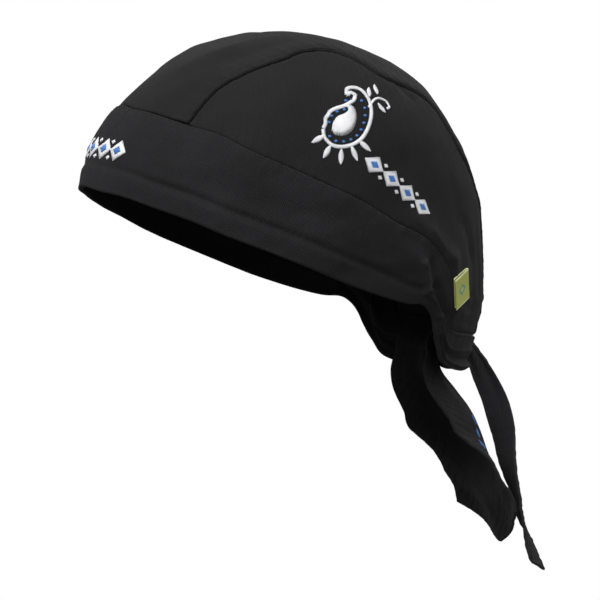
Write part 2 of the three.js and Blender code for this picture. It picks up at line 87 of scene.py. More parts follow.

# %% [markdown]
# ## The form of the cap
# A worn cap is close to an ellipsoid, yet flatter at the brow and fuller at the back. A short table
# of shares bends one plain ellipsoid into that form, which keeps every panel on one smooth surface.
# The sizes are the part's own, in millimetres.

# %% Sizes of the cap
crown_height = 85
half_width = 77
front_reach = 97
back_reach = 105.5
cloth = 1.4
band_cloth = 2.5
flap_cloth = 1.2
seam_gap = 0.3
band_proud = 1.6
hem_width = 10
hem_proud = 0.7
band_swell = 0.35
panel_half_width = 48
seam_welt = 0.8
form_centre = cloth - crown_height

form_rows = {
    "polar": [0, 15, 30, 45, 60, 75, 90, 105, 119, 130, 142],
    "front": [1, 0.979, 0.973, 0.971, 0.977, 0.983, 1, 1.02, 1.04, 1.07, 1.1],
    "side": [1, 1.03, 1.065, 1.048, 1.022, 1.008, 1, 1.045, 1.105, 1.18, 1.27],
    "back": [1, 0.983, 0.99, 1, 0.978, 0.966, 1.003, 1.06, 1.17, 1.27, 1.4],
}
band_rows = {
    "station": list(range(19)),
    "top_azimuth": [
        0, 15, 29.5, 46, 59, 69, 81, 93, 103, 112, 119.5, 125.5, 130.3, 134.5, 136.8, 138, 142, 156, 180,
    ],
    "top_polar": [
        54.5, 56.3, 58.2, 62.5, 66.6, 72, 77.8, 84, 89.5, 95.7, 99.3, 103.2, 108, 113.8, 119.4, 124.5,
        128, 128.7, 129.3,
    ],
    "hem_azimuth": [
        0, 14, 27, 40.5, 51.6, 62, 74.5, 87, 98, 108, 117.5, 123.5, 127, 129.5, 131.8, 135.5, 141.5,
        156, 180,
    ],
    "hem_polar": [
        84.8, 86.2, 88, 91.8, 95.5, 100, 105, 110.2, 115, 118.4, 120.7, 121, 122.8, 125.4, 128.6,
        132.4, 136.2, 137.3, 136.3,
    ],
}
panel_rows = {
    "arc": [
        30, 38, 47, 56, 70, 83, 90, 96, 103, 111, 118, 124, 130, 137, 143, 150, 159, 166, 176, 190,
        205, 232,
    ],
    "width": [
        1.045, 1.035, 1.02, 1, 1, 0.98, 0.915, 0.87, 0.865, 0.91, 0.945, 0.905, 0.84, 0.775, 0.745,
        0.735, 0.7, 0.59, 0.48, 0.36, 0.27, 0.21,
    ],
}
nape_station = band_rows["station"][-1]
print("crown", 2 * half_width, "mm wide and", front_reach + back_reach, "mm long")


# %% Read a table as a smooth curve
def read(rows, column, at, level=False):
    """One column at a place between the rows; a level one ends flat."""
    places = np.array(list(rows.values())[0], float)
    values = np.array(rows[column], float)
    at = np.asarray(at, float)
    before = np.concatenate([[0], np.arange(len(places) - 1)])
    after = np.concatenate([np.arange(1, len(places)), [len(places) - 1]])
    slope = (values[after] - values[before]) / (places[after] - places[before])
    if level:
        slope[[0, -1]] = 0
    i = np.clip(np.searchsorted(places, at) - 1, 0, len(places) - 2)
    span = places[i + 1] - places[i]
    t = np.clip((at - places[i]) / span, 0, 1)
    rise = t * t * (3 - 2 * t)
    leave = t * (1 - t) ** 2 * span * slope[i]
    arrive = t * t * (t - 1) * span * slope[i + 1]
    return values[i] + (values[i + 1] - values[i]) * rise + leave + arrive


def unit(vectors):
    return vectors / np.linalg.norm(vectors, axis=-1, keepdims=True)


def smooth(at, start, width):
    """Rises softly from 0 to 1 over a width."""
    t = np.clip((at - start) / width, 0, 1)
    return t * t * (3 - 2 * t)


def ridge(at, middle, half):
    return np.exp(-(((at - middle) / half) ** 2))


print("crown share at the side:", round(float(read(form_rows, "side", 95, True)), 3))


# %% Points of the cap by direction
def heading(azimuth, polar):
    """Unit direction from the form's centre: azimuth from the brow, polar angle from the top."""
    a, p = np.radians(azimuth), np.radians(polar)
    return np.stack([np.sin(p) * np.sin(a), -np.sin(p) * np.cos(a), np.cos(p) + 0 * a], -1)


def arch_heading(arc, aside):
    """Direction on the arc from the brow (0) over the top to the nape, moved aside."""
    x = np.clip(aside / half_width, -0.99, 0.99)
    ahead = np.sqrt(1 - x * x)
    a = np.radians(arc)
    return np.stack([x, -ahead * np.cos(a), ahead * np.sin(a)], -1)


def reaches(direction):
    forward = direction[..., 1] < 0
    return np.stack([
        np.full(forward.shape, half_width, float),
        np.where(forward, front_reach, back_reach),
        np.full(forward.shape, crown_height, float),
    ], -1)


def cap_form(direction):
    polar = np.degrees(np.arccos(np.clip(direction[..., 2], -1, 1)))
    flat = direction[..., 0] ** 2 + direction[..., 1] ** 2
    lengthwise = direction[..., 1] ** 2 / np.maximum(flat, 1e-12)
    end = np.where(
        direction[..., 1] < 0,
        read(form_rows, "front", polar, True),
        read(form_rows, "back", polar, True),
    )
    share = end * lengthwise + read(form_rows, "side", polar, True) * (1 - lengthwise)
    return share[..., None] * reaches(direction) * direction + np.array([0, 0, form_centre])


def cap_surface(direction):
    """The smooth outside of the crown and its outward normal."""
    small = 1e-3
    steep = np.abs(direction[..., 2:3]) < 0.9
    side = np.where(steep, np.array([0.0, 0.0, 1.0]), np.array([0.0, -1.0, 0.0]))
    across = unit(np.cross(side, direction))
    along = np.cross(direction, across)
    here = cap_form(direction)
    east = cap_form(unit(direction + across * small)) - here
    south = cap_form(unit(direction + along * small)) - here
    return here, unit(np.cross(east, south))


top_point = cap_surface(heading(np.array([0.0]), np.array([1.0])))[0][0]

# %% [markdown]
# ## Folds that wear and the knot pull into the cloth
# Cotton does not stretch far, so where the cap narrows towards the nape it folds. Sculpting would
# give folds too, but a list of ridges, each between two places on the cap, can be read and changed.
# Slow waves are added below them, because no worn cap is as even as a drawn one.

# %% List the folds
fold_rows = [
    # azimuth and polar angle of both ends, width in mm, height in mm
    (121, 96, 135, 108, 5.0, 1.9),
    (135, 108, 141, 122, 4.6, 1.7),
    (143, 97, 150, 106, 4.5, -1.2),
    (150, 106, 152, 120, 5.5, -1.3),
    (146, 123.5, 172, 123, 2.1, 0.8),
    (147, 127, 176, 127, 1.9, 0.7),
    (150, 120.5, 168, 119, 2.0, 0.8),
    (160, 108, 168, 121, 4.5, 0.4),
    (155, 100, 158, 117, 3.0, -0.7),
    (97, 107, 120, 108, 4.2, 0.95),
    (97, 111, 117, 112, 3.8, -0.8),
    (116, 101, 128, 107, 3.0, -0.6),
    (128, 113, 133, 122, 2.6, 0.8),
    (60, 58, 86, 66, 7.0, 0.5),
    (100, 52, 118, 66, 8.0, 0.5),
    (126, 60, 140, 82, 9.0, 0.6),
    (26, 36, 50, 29, 5.0, 0.55),
    (50, 29, 80, 22, 5.0, 0.55),
    (31, 43, 60, 35.3, 5.0, -0.6),
    (60, 35.3, 84, 29, 5.0, -0.5),
    (74, 90, 95, 95, 4.5, -0.75),
    (70, 83, 98, 89, 5.5, 0.45),
    (99, 106.5, 114, 107.5, 4.0, -0.9),
    (45, 80, 62, 84, 5.0, -0.4),
    (121.5, 108.8, 124.2, 116.6, 1.6, 2.6),
    (124.2, 116.6, 130.2, 123.8, 1.5, 2.6),
    (130.2, 123.8, 133.2, 128.5, 1.4, 2.0),
    (125.2, 108.5, 128, 116.2, 2.3, -2.0),
    (128, 116.2, 134, 123.2, 2.3, -2.1),
    (134, 123.2, 137, 128, 2.3, -1.6),
    (126, 99, 132, 107, 2.2, 0.7),
    (118, 76, 126, 89, 7.0, -0.7),
    (137, 74, 139, 96, 5.0, -0.6),
    (131, 49, 133, 53, 2.5, -0.7),
]
back_folds = [
    (172, 60, 188, 60, 12, -1.1),
    (165, 71, 195, 71, 9, 1.0),
    (168, 84, 190, 82, 7, -0.6),
]


def fold_height(direction):
    height = np.zeros(direction.shape[:-1])
    both = [(s, row) for row in fold_rows for s in (1, -1)] + [(1, row) for row in back_folds]
    for side, (azimuth_a, polar_a, azimuth_b, polar_b, width, rise) in both:
        start = heading(side * azimuth_a, polar_a)
        span = heading(side * azimuth_b, polar_b) - start
        t = np.clip(((direction - start) @ span) / (span @ span), 0, 1)
        nearest = start + t[..., None] * span
        away = np.linalg.norm(direction - nearest, axis=-1) * crown_height / width
        height += rise * np.exp(-np.abs(away) ** 1.7)
    return height


def waves(points, length, seed):
    """Soft irregular waves of about this length, the same in every run."""
    draw = np.random.default_rng(seed)
    total = np.zeros(points.shape[:-1])
    for _ in range(10):
        way = unit(draw.normal(size=3))
        pace = 2 * math.pi / length * draw.uniform(0.7, 1.4)
        total += np.sin(points @ way * pace + draw.uniform(0, 2 * math.pi))
    return total / math.sqrt(5)


def cloth_lift(direction, points):
    """How far the cloth stands off the smooth form."""
    return fold_height(direction) + 0.22 * waves(points, 48, 3) + 0.09 * waves(points, 17, 4)


print(len(fold_rows) * 2 + len(back_folds), "folds")

# %% [markdown]
# ## Cutting a piece of cloth
# A sheet with the Solidify modifier is the quick way to give cloth a thickness, but its edges come
# out square. Here each piece is a grid with two faces, and the space between them closes in a
# half round towards every edge, as turned and pressed cloth does. The grid also carries its own
# flat size as a UV map in metres, so a weave runs straight along the cut piece.


# %% Make a closed sheet from a grid
def lengths(grid, axis):
    """Distance along one direction of a grid, from its start."""
    steps = np.linalg.norm(np.diff(grid, axis=axis), axis=-1)
    return np.concatenate([np.zeros_like(np.take(steps, [0], axis)), np.cumsum(steps, axis)], axis)


def cloth_map(grid, turned=False):
    """Flat places of a grid in mm: across from its middle, and along; turned swaps them."""
    across = lengths(grid, 1)
    across = across - across[:, across.shape[1] // 2, None]
    along = lengths(grid, 0).mean(1, keepdims=True) + 0 * across
    return np.stack([along, across] if turned else [across, along], -1)


def grid_normals(grid):
    along = np.gradient(grid, axis=0)
    across = np.gradient(grid, axis=1)
    return unit(np.cross(across, along))


def rounded(distance, half):
    """Half the thickness at a distance from the edge, closing in a half round."""
    inside = 1 - np.clip(distance / half, 0, 1)
    return half * np.sqrt(np.maximum(1 - inside * inside, 0))


def crowded(count, crowd):
    """Places from 0 to 1 that stand closer together at both ends."""
    t = np.linspace(0, 1, count)
    return t - crowd * np.sin(2 * math.pi * t) / (2 * math.pi)


def add_object(name, points, faces, uv=None, wear_and_highlight=None):
    """A mesh from points and flat places in mm, with a mask of wear and painted highlight on each point."""
    mesh = bpy.data.meshes.new(name)
    mesh.from_pydata((points * mm).tolist(), [], faces)
    mesh.shade_smooth()
    if uv is not None:
        corners = np.empty(len(mesh.loops), int)
        mesh.loops.foreach_get("vertex_index", corners)
        layer = mesh.uv_layers.new(name="cloth")
        layer.data.foreach_set("uv", (uv[corners] * mm).ravel())
    if wear_and_highlight is not None:
        attribute = mesh.attributes.new("wear_and_highlight", "FLOAT", "POINT")
        attribute.data.foreach_set("value", wear_and_highlight)
    piece = bpy.data.objects.new(name, mesh)
    bpy.context.scene.collection.objects.link(piece)
    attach(piece, "root")
    return piece


def wall(name, outer, inner, wear_and_highlight, uv_grid=None):
    """A closed sheet from two grids that meet along their edges."""
    rows, columns = outer.shape[:2]
    count = rows * columns
    top = np.arange(count).reshape(rows, columns)
    under = top.copy()
    under[1:-1, 1:-1] = count + np.arange((rows - 2) * (columns - 2)).reshape(rows - 2, columns - 2)

    def quads(grid):
        return np.stack([grid[:-1, :-1], grid[:-1, 1:], grid[1:, 1:], grid[1:, :-1]], -1).reshape(-1, 4)

    def both(values):
        inside = values[1:-1, 1:-1]
        return np.concatenate([values.reshape(count, -1), inside.reshape(-1, values.shape[-1])])

    if uv_grid is None:
        uv_grid = cloth_map(outer)
    points = np.concatenate([outer.reshape(-1, 3), inner[1:-1, 1:-1].reshape(-1, 3)])
    faces = np.concatenate([quads(top), quads(under)[:, ::-1]])
    return add_object(name, points, faces.tolist(), both(uv_grid), both(wear_and_highlight[..., None]).ravel())


def edge_distance(grid):
    """Distances from the grid's four edges: start and end across, start and end along."""
    across = lengths(grid, 1)
    along = lengths(grid, 0)
    return across, across[:, -1:] - across, along, along[-1:] - along


def nearest_edge(grid):
    return np.minimum.reduce(edge_distance(grid))


def faces_of(middle, normal, half):
    """The outer and the inner face of a sheet, each half a thickness from its middle."""
    away = normal * half[..., None]
    return middle + away, middle - away


def flat_size(across, along):
    """A sheet's flat size in metres, from its distances across and along."""
    return float(across.max()) * mm, float(along.max()) * mm


def puckers(along, distance, depth=0.2):
    """Small pulls that a row of stitches draws into the cloth beside it."""
    pull = np.sin(along / 1.15 + 1.3 * np.sin(along / 9))
    pull = pull + 0.6 * np.sin(along / 0.63 + 2 * np.sin(along / 14))
    return depth * pull * np.exp(-distance / 7)


print("grids close in a half round of", cloth / 2, "mm")


# %% [markdown]
# ## Rows of stitches
# Each stitch is a short thread that dips into the cloth at both ends. A bump map could fake it, but
# real threads catch the light along the seams and stay when the camera comes close. One small
# thread is shaped once and set down along every seam, and the embroidery uses it again.


# %% Shape and lay threads
thread_sides = 6
thread_stations = 5


def tube_faces(count, sides):
    """Point numbers of a tube's rings, the same one place on, and the faces between them."""
    ids = np.arange(count * sides).reshape(count, sides)
    around = np.roll(ids, -1, axis=1)
    return ids, around, np.stack([ids[:-1], around[:-1], around[1:], ids[1:]], -1).reshape(-1, 4)


def threads(name, middles, ways, normals, long, thick, sink=0.0):
    """Lays one thread at each place: ways is its direction, long its length."""
    along = np.linspace(-0.5, 0.5, thread_stations)
    swell = np.sqrt(np.maximum(1 - (2 * along * 0.96) ** 4, 0.02))
    turn = np.arange(thread_sides) * 2 * math.pi / thread_sides
    count = len(middles)
    long = np.broadcast_to(long, (count,))
    asides = np.cross(normals, ways)
    reach = along[None, :, None, None] * long[:, None, None, None]
    points = middles[:, None, None] + ways[:, None, None] * reach
    radius = (thick / 2 * swell)[None, :, None, None]
    points = points + asides[:, None, None] * (np.cos(turn)[None, None, :, None] * radius)
    rise = thick * (0.5 * (1 - (2 * along) ** 2) - sink)
    lift = np.sin(turn)[None, None, :, None] * radius + rise[None, :, None, None]
    points = points + normals[:, None, None] * lift
    ids, _, quads = tube_faces(thread_stations, thread_sides)
    starts = np.arange(count)[:, None] * ids.size
    faces = (quads[None] + starts[..., None]).reshape(-1, 4).tolist()
    for cap in (ids[0, ::-1], ids[-1]):
        faces += (cap + starts).tolist()
    return add_object(name, points.reshape(-1, 3), faces)


stitch_pitch = 2.9
stitch_fill = 0.78  # the share of its pitch that a stitch shows


def sew(line, normals):
    """Places of the stitches along a line: middles, directions, normals and lengths."""
    run = lengths(line[None], 1)[0]
    count = max(int(run[-1] / stitch_pitch), 1)
    places = (np.arange(count) + 0.5) * run[-1] / count
    at = np.stack([np.interp(places, run, line[:, k]) for k in range(3)], -1)
    ahead = np.stack([np.interp(places + 0.5, run, line[:, k]) for k in range(3)], -1)
    behind = np.stack([np.interp(places - 0.5, run, line[:, k]) for k in range(3)], -1)
    up = unit(np.stack([np.interp(places, run, normals[:, k]) for k in range(3)], -1))
    way = unit(ahead - behind)
    way = unit(way - up * (way * up).sum(-1, keepdims=True))
    return at, way, up, np.full(count, stitch_pitch * stitch_fill)


def line_at(outer, normals, run, distance):
    """The line on a grid at one distance across, row by row."""
    line = np.empty((len(outer), 3))
    up = np.empty((len(outer), 3))
    for j in range(len(outer)):
        for k in range(3):
            line[j, k] = np.interp(distance, run[j], outer[j, :, k])
            up[j, k] = np.interp(distance, run[j], normals[j, :, k])
    return line, unit(up)


seam_rows = []  # every row of stitches that the seams get


def stitch_line(outer, distance, from_end=False, crosswise=False, part=(0, 1)):
    """Adds a row of stitches at one distance from an edge of a grid."""
    grid = outer.swapaxes(0, 1) if crosswise else outer
    normals = grid_normals(outer)
    normals = normals.swapaxes(0, 1) if crosswise else normals
    run = lengths(grid, 1)
    if from_end:
        grid, normals, run = grid[:, ::-1], normals[:, ::-1], run[:, -1:] - run[:, ::-1]
    first, last = int(part[0] * len(grid)), max(int(part[1] * len(grid)), 2)
    line, up = line_at(grid[first:last], normals[first:last], run[first:last], distance)
    seam_rows.append(sew(line, up))


print("a stitch is", round(stitch_pitch * stitch_fill, 2), "mm long")


# %% [markdown]
# ## The seams between the panels
# The brow band's two edges and the centre seam are lines over the form. Where the centre seam meets
# the band is not typed in: it is found by halving, so the panels always meet the band exactly.


# %% Find where the seams run
def band_edge(edge, station):
    azimuth = read(band_rows, edge + "_azimuth", station)
    return heading(azimuth, read(band_rows, edge + "_polar", station, True))


def band_top(station):
    return band_edge("top", station)


def band_hem(station):
    return band_edge("hem", station)


def panel_seam(arc, gap):
    return arch_heading(arc, panel_half_width * read(panel_rows, "width", arc) + gap)


def crossing(test, low, high):
    """Where a steady test passes zero, for many places at once."""
    rising = test(high) > test(low)
    for _ in range(40):
        middle = (low + high) / 2
        beyond = (test(middle) > 0) == rising
        high = np.where(beyond, middle, high)
        low = np.where(beyond, low, middle)
    return (low + high) / 2


def arc_of(direction):
    arc = np.degrees(np.arctan2(direction[..., 2], -direction[..., 1]))
    return np.where(arc < -90, arc + 360, arc)


def seam_meets(low, high):
    def test(station):
        edge = band_top(station)
        return edge[..., 0] - panel_seam(arc_of(edge), 0)[..., 0]
    return crossing(test, np.array(float(low)), np.array(float(high)))


widest_station = 7
face_meeting = seam_meets(0, widest_station)
nape_meeting = seam_meets(widest_station, nape_station)
seam_margin = np.degrees(seam_gap / crown_height)


def arcs_aside(share):
    """Arcs where the crown's edge lies at a share of the centre panel's width."""
    def station_aside(aside, low, high):
        start, finish = np.full(aside.shape, float(low)), np.full(aside.shape, float(high))
        return crossing(lambda s: band_top(s)[..., 0] - np.abs(aside), start, finish)
    face = station_aside(share * band_top(face_meeting)[0], 0, widest_station)
    nape = station_aside(share * band_top(nape_meeting)[0], widest_station, nape_station)
    return arc_of(band_top(face)) + seam_margin, arc_of(band_top(nape)) - seam_margin


print("centre seam meets the band at stations", round(float(face_meeting), 2), round(float(nape_meeting), 2))

# %% [markdown]
# ## The crown's centre panel
# On the real cap the centre panel laps over the side panels and is topstitched twice, which leaves
# a low welt beside a dark line. The welt is part of the grid here, so it shows in the outline too.
# Columns stand closer together towards the seams, where the relief is finest.


# %% Cut the centre panel
welt_stitches = 1.7  # how far the topstitching lies from the seam


def lapped_edge(distance):
    """Height of a lapped seam beside its edge, with the two sunk rows of stitches."""
    welt = smooth(distance, 0, 1.3) * (1 - smooth(distance, 2.5, 9))
    return seam_welt * welt - 0.12 * ridge(distance, welt_stitches, 0.4) - 0.07 * ridge(distance, 6.6, 0.8)


def worn_and_lit(distance):
    """Mask of the wear along an edge."""
    # Mask along an edge, for its wear and for the painted highlight that edges and hems get.
    return np.exp(-distance / 1.1)


share = crowded(112, 0.75) * 2 - 1
start, finish = arcs_aside(np.abs(share))
along = np.linspace(0, 1, 250)[:, None]
arc = start + (finish - start) * along
half = panel_half_width * read(panel_rows, "width", arc) - seam_gap / 2
direction = arch_heading(arc, share * half)
base, normal = cap_surface(direction)
left, right, front, back = edge_distance(base)
from_seam = np.minimum(left, right)
nearest = np.minimum(from_seam, np.minimum(front, back))
lift = cloth_lift(direction, base) + lapped_edge(from_seam) + puckers(front, from_seam)
thickness = rounded(nearest, cloth / 2)
middle = base + normal * (lift - cloth / 2)[..., None]
outer, inner = faces_of(middle, normal, thickness)
# Lighter beside the seams: partly wear, partly a painted highlight.
centre_panel = wall("centre_panel", outer, inner, worn_and_lit(from_seam))
stitch_line(outer, welt_stitches)
stitch_line(outer, welt_stitches, from_end=True)
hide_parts("crown_centre_panel")


# %% [markdown]
# ## The crown's side panels
# Each side panel fills the space between the centre seam and the band. Its upper edge dives below
# the lapped seam, and its lower edge below the band, so both seams read as dark lines.


# %% Cut the side panels
tucked_under = 1.1  # how far a side panel reaches under the band
corner_inset = 0.08  # stations of the band kept clear at its corners
corner_ease = 0.35  # how much closer its columns stand at both ends


def side_directions(side):
    first, last = arcs_aside(np.array([1.0]))
    even = 0.5 - 0.5 * np.cos(math.pi * along)
    eased = along + (even - along) * corner_ease
    low_start = face_meeting + corner_inset
    low_finish = nape_meeting - corner_inset / 2
    low = band_top(low_start + (low_finish - low_start) * eased)
    high = panel_seam(first + (last - first) * along, seam_gap / 2)
    tuck = tucked_under / crown_height / np.linalg.norm(high - low, axis=-1, keepdims=True)
    down = crowded(104, 0.7)
    down = (down if side > 0 else 1 - down)[None, :, None]
    ways = unit(high + (low - high) * down * (1 + tuck))
    return ways * np.array([side, 1, 1])


def cut_side_panel(name, side):
    direction = side_directions(side)
    base, normal = cap_surface(direction)
    first, second, front, back = edge_distance(base)
    from_seam, from_band = (first, second) if side > 0 else (second, first)
    nearest = np.minimum.reduce([first, second, front, back])
    dive = -0.5 * np.exp(-from_seam / 0.8) - 1.1 * np.exp(-((from_band / 1.5) ** 2))
    lift = cloth_lift(direction, base) + dive
    lift = lift + puckers(front, from_seam, 0.14) + puckers(front, from_band, 0.16)
    thickness = rounded(nearest, cloth / 2)
    middle = base + normal * (lift - cloth / 2)[..., None]
    outer, inner = faces_of(middle, normal, thickness)
    # Lighter beside the centre seam: partly wear, partly a painted highlight.
    piece = wall(name, outer, inner, 0.4 * worn_and_lit(from_seam), cloth_map(base, turned=True))
    node = "crown_" + name.replace("_panel", "")
    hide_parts(node)
    print(name, len(piece.data.polygons), "faces")
    return piece, flat_size(first[:, -1], front[-1])


side_left, side_flat = cut_side_panel("side_left_panel", 1)
side_right, _ = cut_side_panel("side_right_panel", -1)

# %% [markdown]
# ## The brow band
# The band is doubled cloth with a wide hem along its lower edge. Towards the back it narrows and is
# pulled into the knot, so its pleats start at the side and deepen towards the nape. One grid runs
# from one end at the knot, round the brow, to the other end.


# %% Cut the brow band
knot_width = 24
knot_depth = 13
knot_height = 15.5
band_stitches = 1.6  # how far the topstitching lies from the band's top edge


def to_side(signed):
    """Factors that mirror a place of the left side where its number is negative."""
    side = np.where(signed < 0, -1, 1)
    return np.stack([side, side * 0 + 1, side * 0 + 1], -1)


def band_directions(along, across):
    signed = along * 2 - 1
    station = np.abs(signed) * band_end
    mirror = to_side(signed)
    top = band_top(station) * mirror
    hem = band_hem(station) * mirror
    return unit(hem + (top - hem) * (1 - across)[..., None]), station


def beside_knot(station):
    return cap_surface(band_hem(station))[0][..., 0] - (knot_width / 2 + 2 * seam_gap)


band_end = float(crossing(beside_knot, np.array(nape_station - 1.0), np.array(float(nape_station))))
band_along, band_across = np.meshgrid(np.linspace(0, 1, 620), crowded(92, 0.55), indexing="ij")
direction, station = band_directions(band_along, band_across)
base, normal = cap_surface(direction)
from_top, from_hem, from_start, from_end = edge_distance(base)
width = from_top[:, -1:]
share = from_top / width

narrowing = 1 - 0.5 * smooth(station, 8, 3.5) - 0.2 * smooth(station, 14, 3)
hem_line = np.minimum(hem_width, width * 0.5) * narrowing
drawn = smooth(station, 10, 2.5)
# The doubled hem stands proud at the brow and flattens along the side, with a furrow above it.
hem = hem_proud * (1 - 0.95 * smooth(station, 0.8, 2.4)) * (1 - smooth(from_hem, hem_line, 3.2))
hem -= (0.35 + 0.85 * smooth(station, 1, 2)) * (1 - drawn) * ridge(from_hem, hem_line + 2, 2.0)
# Where the band is drawn in, the hem folds into a ridge, and near the knot the top edge rolls up.
hem += drawn * (1.5 * ridge(from_hem, hem_line, 1.0) - 1.1 * ridge(from_hem, hem_line + 2.8, 1.6))
hem += 0.3 * smooth(station, 15, 2) * ridge(from_top, 1.2, 1.1)
# The seam holds the top edge down.
hem -= (0.45 + 0.6 * ridge(station, 3.4, 1.5)) * (1 - smooth(station, 14, 2)) * np.exp(-from_top / 3)
topstitch = -0.14 * ridge(from_top, band_stitches, 0.45) - 0.35 * np.exp(-from_top / 1.1)
gather = smooth(station, 12.2, 4.2)
pleat_phase = share * 2 * math.pi * 2.1 + 0.7 * np.sin(station * 1.1) + np.sign(band_along - 0.5) * 0.4
pleats = gather * np.sin(math.pi * share) ** 0.5 * (0.7 * ridge(np.sin(pleat_phase / 2), 0, 0.42) - 0.4)
pull = 0.3 * smooth(station, 8, 4) * np.sin(share * 2 * math.pi * 1.2 + station * 0.7)
lift = cloth_lift(direction, base) + band_swell * np.sin(math.pi * share) + hem + topstitch + pleats + pull
lift += puckers(from_start, from_top, 0.13) + puckers(from_start + 3, np.abs(from_hem - hem_line), 0.08)
lift += 0.2 * waves(base, 26, 8) + 0.05 * waves(base, 9, 9)
nearest = np.minimum.reduce([from_top, from_hem, from_start, from_end])
half_band = (band_proud + lift - (band_proud - band_cloth) - 0.35 * lift) / 2
middle_lift = (band_proud - band_cloth + 0.35 * lift + band_proud + lift) / 2
thickness = rounded(nearest, np.maximum(half_band, 0.6))
outer = base + normal * (middle_lift + thickness)[..., None]
inner = base + normal * (middle_lift - thickness)[..., None]
# Lighter along the hem and the top edge: partly wear, partly a painted highlight.
wear_and_highlight = 0.8 * worn_and_lit(from_hem) + 0.15 * worn_and_lit(from_top)
brow_band = wall("brow_band_cloth", outer, inner, np.clip(wear_and_highlight, 0, 1), cloth_map(base, turned=True))
stitch_line(outer, band_stitches, part=(0.05, 0.95))
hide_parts("brow_band")


# %% [markdown]
# ## Seam tapes inside the crown
# Through the open underside the inside of the cap shows, where each seam is bound by a narrow tape.
# The tapes also close the fine gaps between the panels, so no light comes through.


# %% Lay the seam tapes
tape_columns = 14
tape_cloth = 0.5
tape_end = 17.95  # the station where the band's tape stops, just short of the nape


def tape(name, ways, lift, wide=9.0):
    base, normal = cap_surface(ways)
    run = unit(np.gradient(base, axis=0))
    aside = np.cross(normal, run)
    across = np.linspace(-1, 1, tape_columns)
    spread = ways[:, None] + aside[:, None] * (across[None, :, None] * wide / 2 / crown_height)
    ways_wide = unit(spread)
    points, up = cap_surface(ways_wide)
    nearest = nearest_edge(points)
    rise = cloth_lift(ways_wide, points) + lift
    rise += 0.12 * ridge(np.abs(across)[None, :] + 0 * nearest, 0.72, 0.12)
    outer, inner = faces_of(points + up * rise[..., None], up, rounded(nearest, tape_cloth / 2))
    return wall(name, outer, inner, worn_and_lit(nearest))


first_arc, last_arc = (float(a[0]) for a in arcs_aside(np.array([1.0])))
tape_arcs = np.linspace(first_arc + 1, last_arc - 1, 170)
tapes = []
for tape_name, side in (("seam_tape_left", 1), ("seam_tape_right", -1)):
    ways = panel_seam(tape_arcs, 0) * np.array([side, 1, 1])
    tapes.append(tape(tape_name, ways[::side], -cloth - 0.45))
half_ring = np.linspace(0, tape_end, 240)
ring = np.concatenate([-np.linspace(tape_end, 0, 240)[:-1], half_ring])
tapes.append(tape("seam_tape_band", band_top(np.abs(ring)) * to_side(ring), -cloth - 0.5, wide=10))
print(len(tapes), "seam tapes")

# %% [markdown]
# ## The neck flap
# The tail is thin cloth that is caught in the crown's back edge and pulled in under the knot, so it
# gathers at the top and opens into soft flutes lower down, and its sides curl forward. A cloth
# simulation would need what it lies on, so the drape is a table of widths and reaches instead.

# %% Cut and drape the neck flap
flap_length = 87.3
flap_point = 18
flap_half_width = 42
flap_tuck = 6
flap_hem = 7.5
flap_stitches = flap_hem - 1.2
flap_ripple = 0.6  # depth of the soft waves across its lower edge
flap_waves = 1.25  # waves from the middle to one side edge
flap_rows = {
    "share": [
        0, 0.04, 0.073, 0.11, 0.155, 0.2, 0.25, 0.318,
        0.42, 0.5, 0.57, 0.63, 0.677, 0.731, 0.827, 0.908, 1,
    ],
    "width": [
        0.52, 0.525, 0.53, 0.545, 0.56, 0.578, 0.6, 0.64,
        0.72, 0.785, 0.83, 0.88, 0.915, 0.94, 0.97, 0.99, 1,
    ],
    "reach": [
        0.165, 0.07, -0.1, -0.19, -0.2, -0.212, -0.175, -0.045,
        0.155, 0.295, 0.37, 0.405, 0.415, 0.415, 0.45, 0.555, 0.655,
    ],
    "curl": [
        0.55, 0.5, 0.4, 0.32, 0.29, 0.31, 0.36, 0.465,
        0.57, 0.605, 0.615, 0.5, 0.375, 0.25, 0.155, 0.14, 0.195,
    ],
}
knot_place = np.array([0, 95.22, -159.95])  # the middle of the knot
flap_along, flap_across = np.meshgrid(crowded(170, 0.4), crowded(120, 0.6), indexing="ij")
share = flap_across * 2 - 1
wide = flap_half_width * read(flap_rows, "width", flap_along)
reach = knot_place[1] + flap_half_width * read(flap_rows, "reach", flap_along)
curl = flap_half_width * read(flap_rows, "curl", flap_along) * share * share
flute = flap_ripple * flap_along * np.sin(share * 2 * flap_waves * math.pi)
gathered = smooth(flap_along, 0.06, 0.12) * (1 - smooth(flap_along, 0.25, 0.5))
flute += 1.25 * gathered * np.cos(share * 9.5)
flute += 0.55 * smooth(flap_along, 0.2, 0.3) * np.sin(share * 6.3 + flap_along * 5)
fall = flap_along * (flap_length + flap_tuck) + flap_point * (1 - np.abs(share)) * flap_along**2
flap_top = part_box("neck_flap")[1][2] / mm
base = np.stack([share * wide, reach - curl + flute, flap_top - fall], -1)
base[..., 1] += 0.3 * waves(base, 26, 12)
normal = grid_normals(base)
first, second, top_run, low_run = edge_distance(base)
from_edge = np.minimum(np.minimum(first, second), low_run)
nearest = np.minimum(from_edge, top_run)
hem = 0.35 * (1 - smooth(from_edge, flap_hem, 1.2))
sunk = 0.14 * ridge(from_edge, flap_stitches, 0.4)
thickness = rounded(nearest, flap_cloth / 2) * (1 + hem * 0.8) - sunk * smooth(nearest, 0.5, 1)
ripples = puckers(top_run + first, np.abs(from_edge - flap_hem), 0.2) + 0.06 * waves(base, 8, 13)
middle = base + normal * ripples[..., None]
flap_outer, flap_inner = faces_of(middle, normal, thickness)
flap_normals = normal
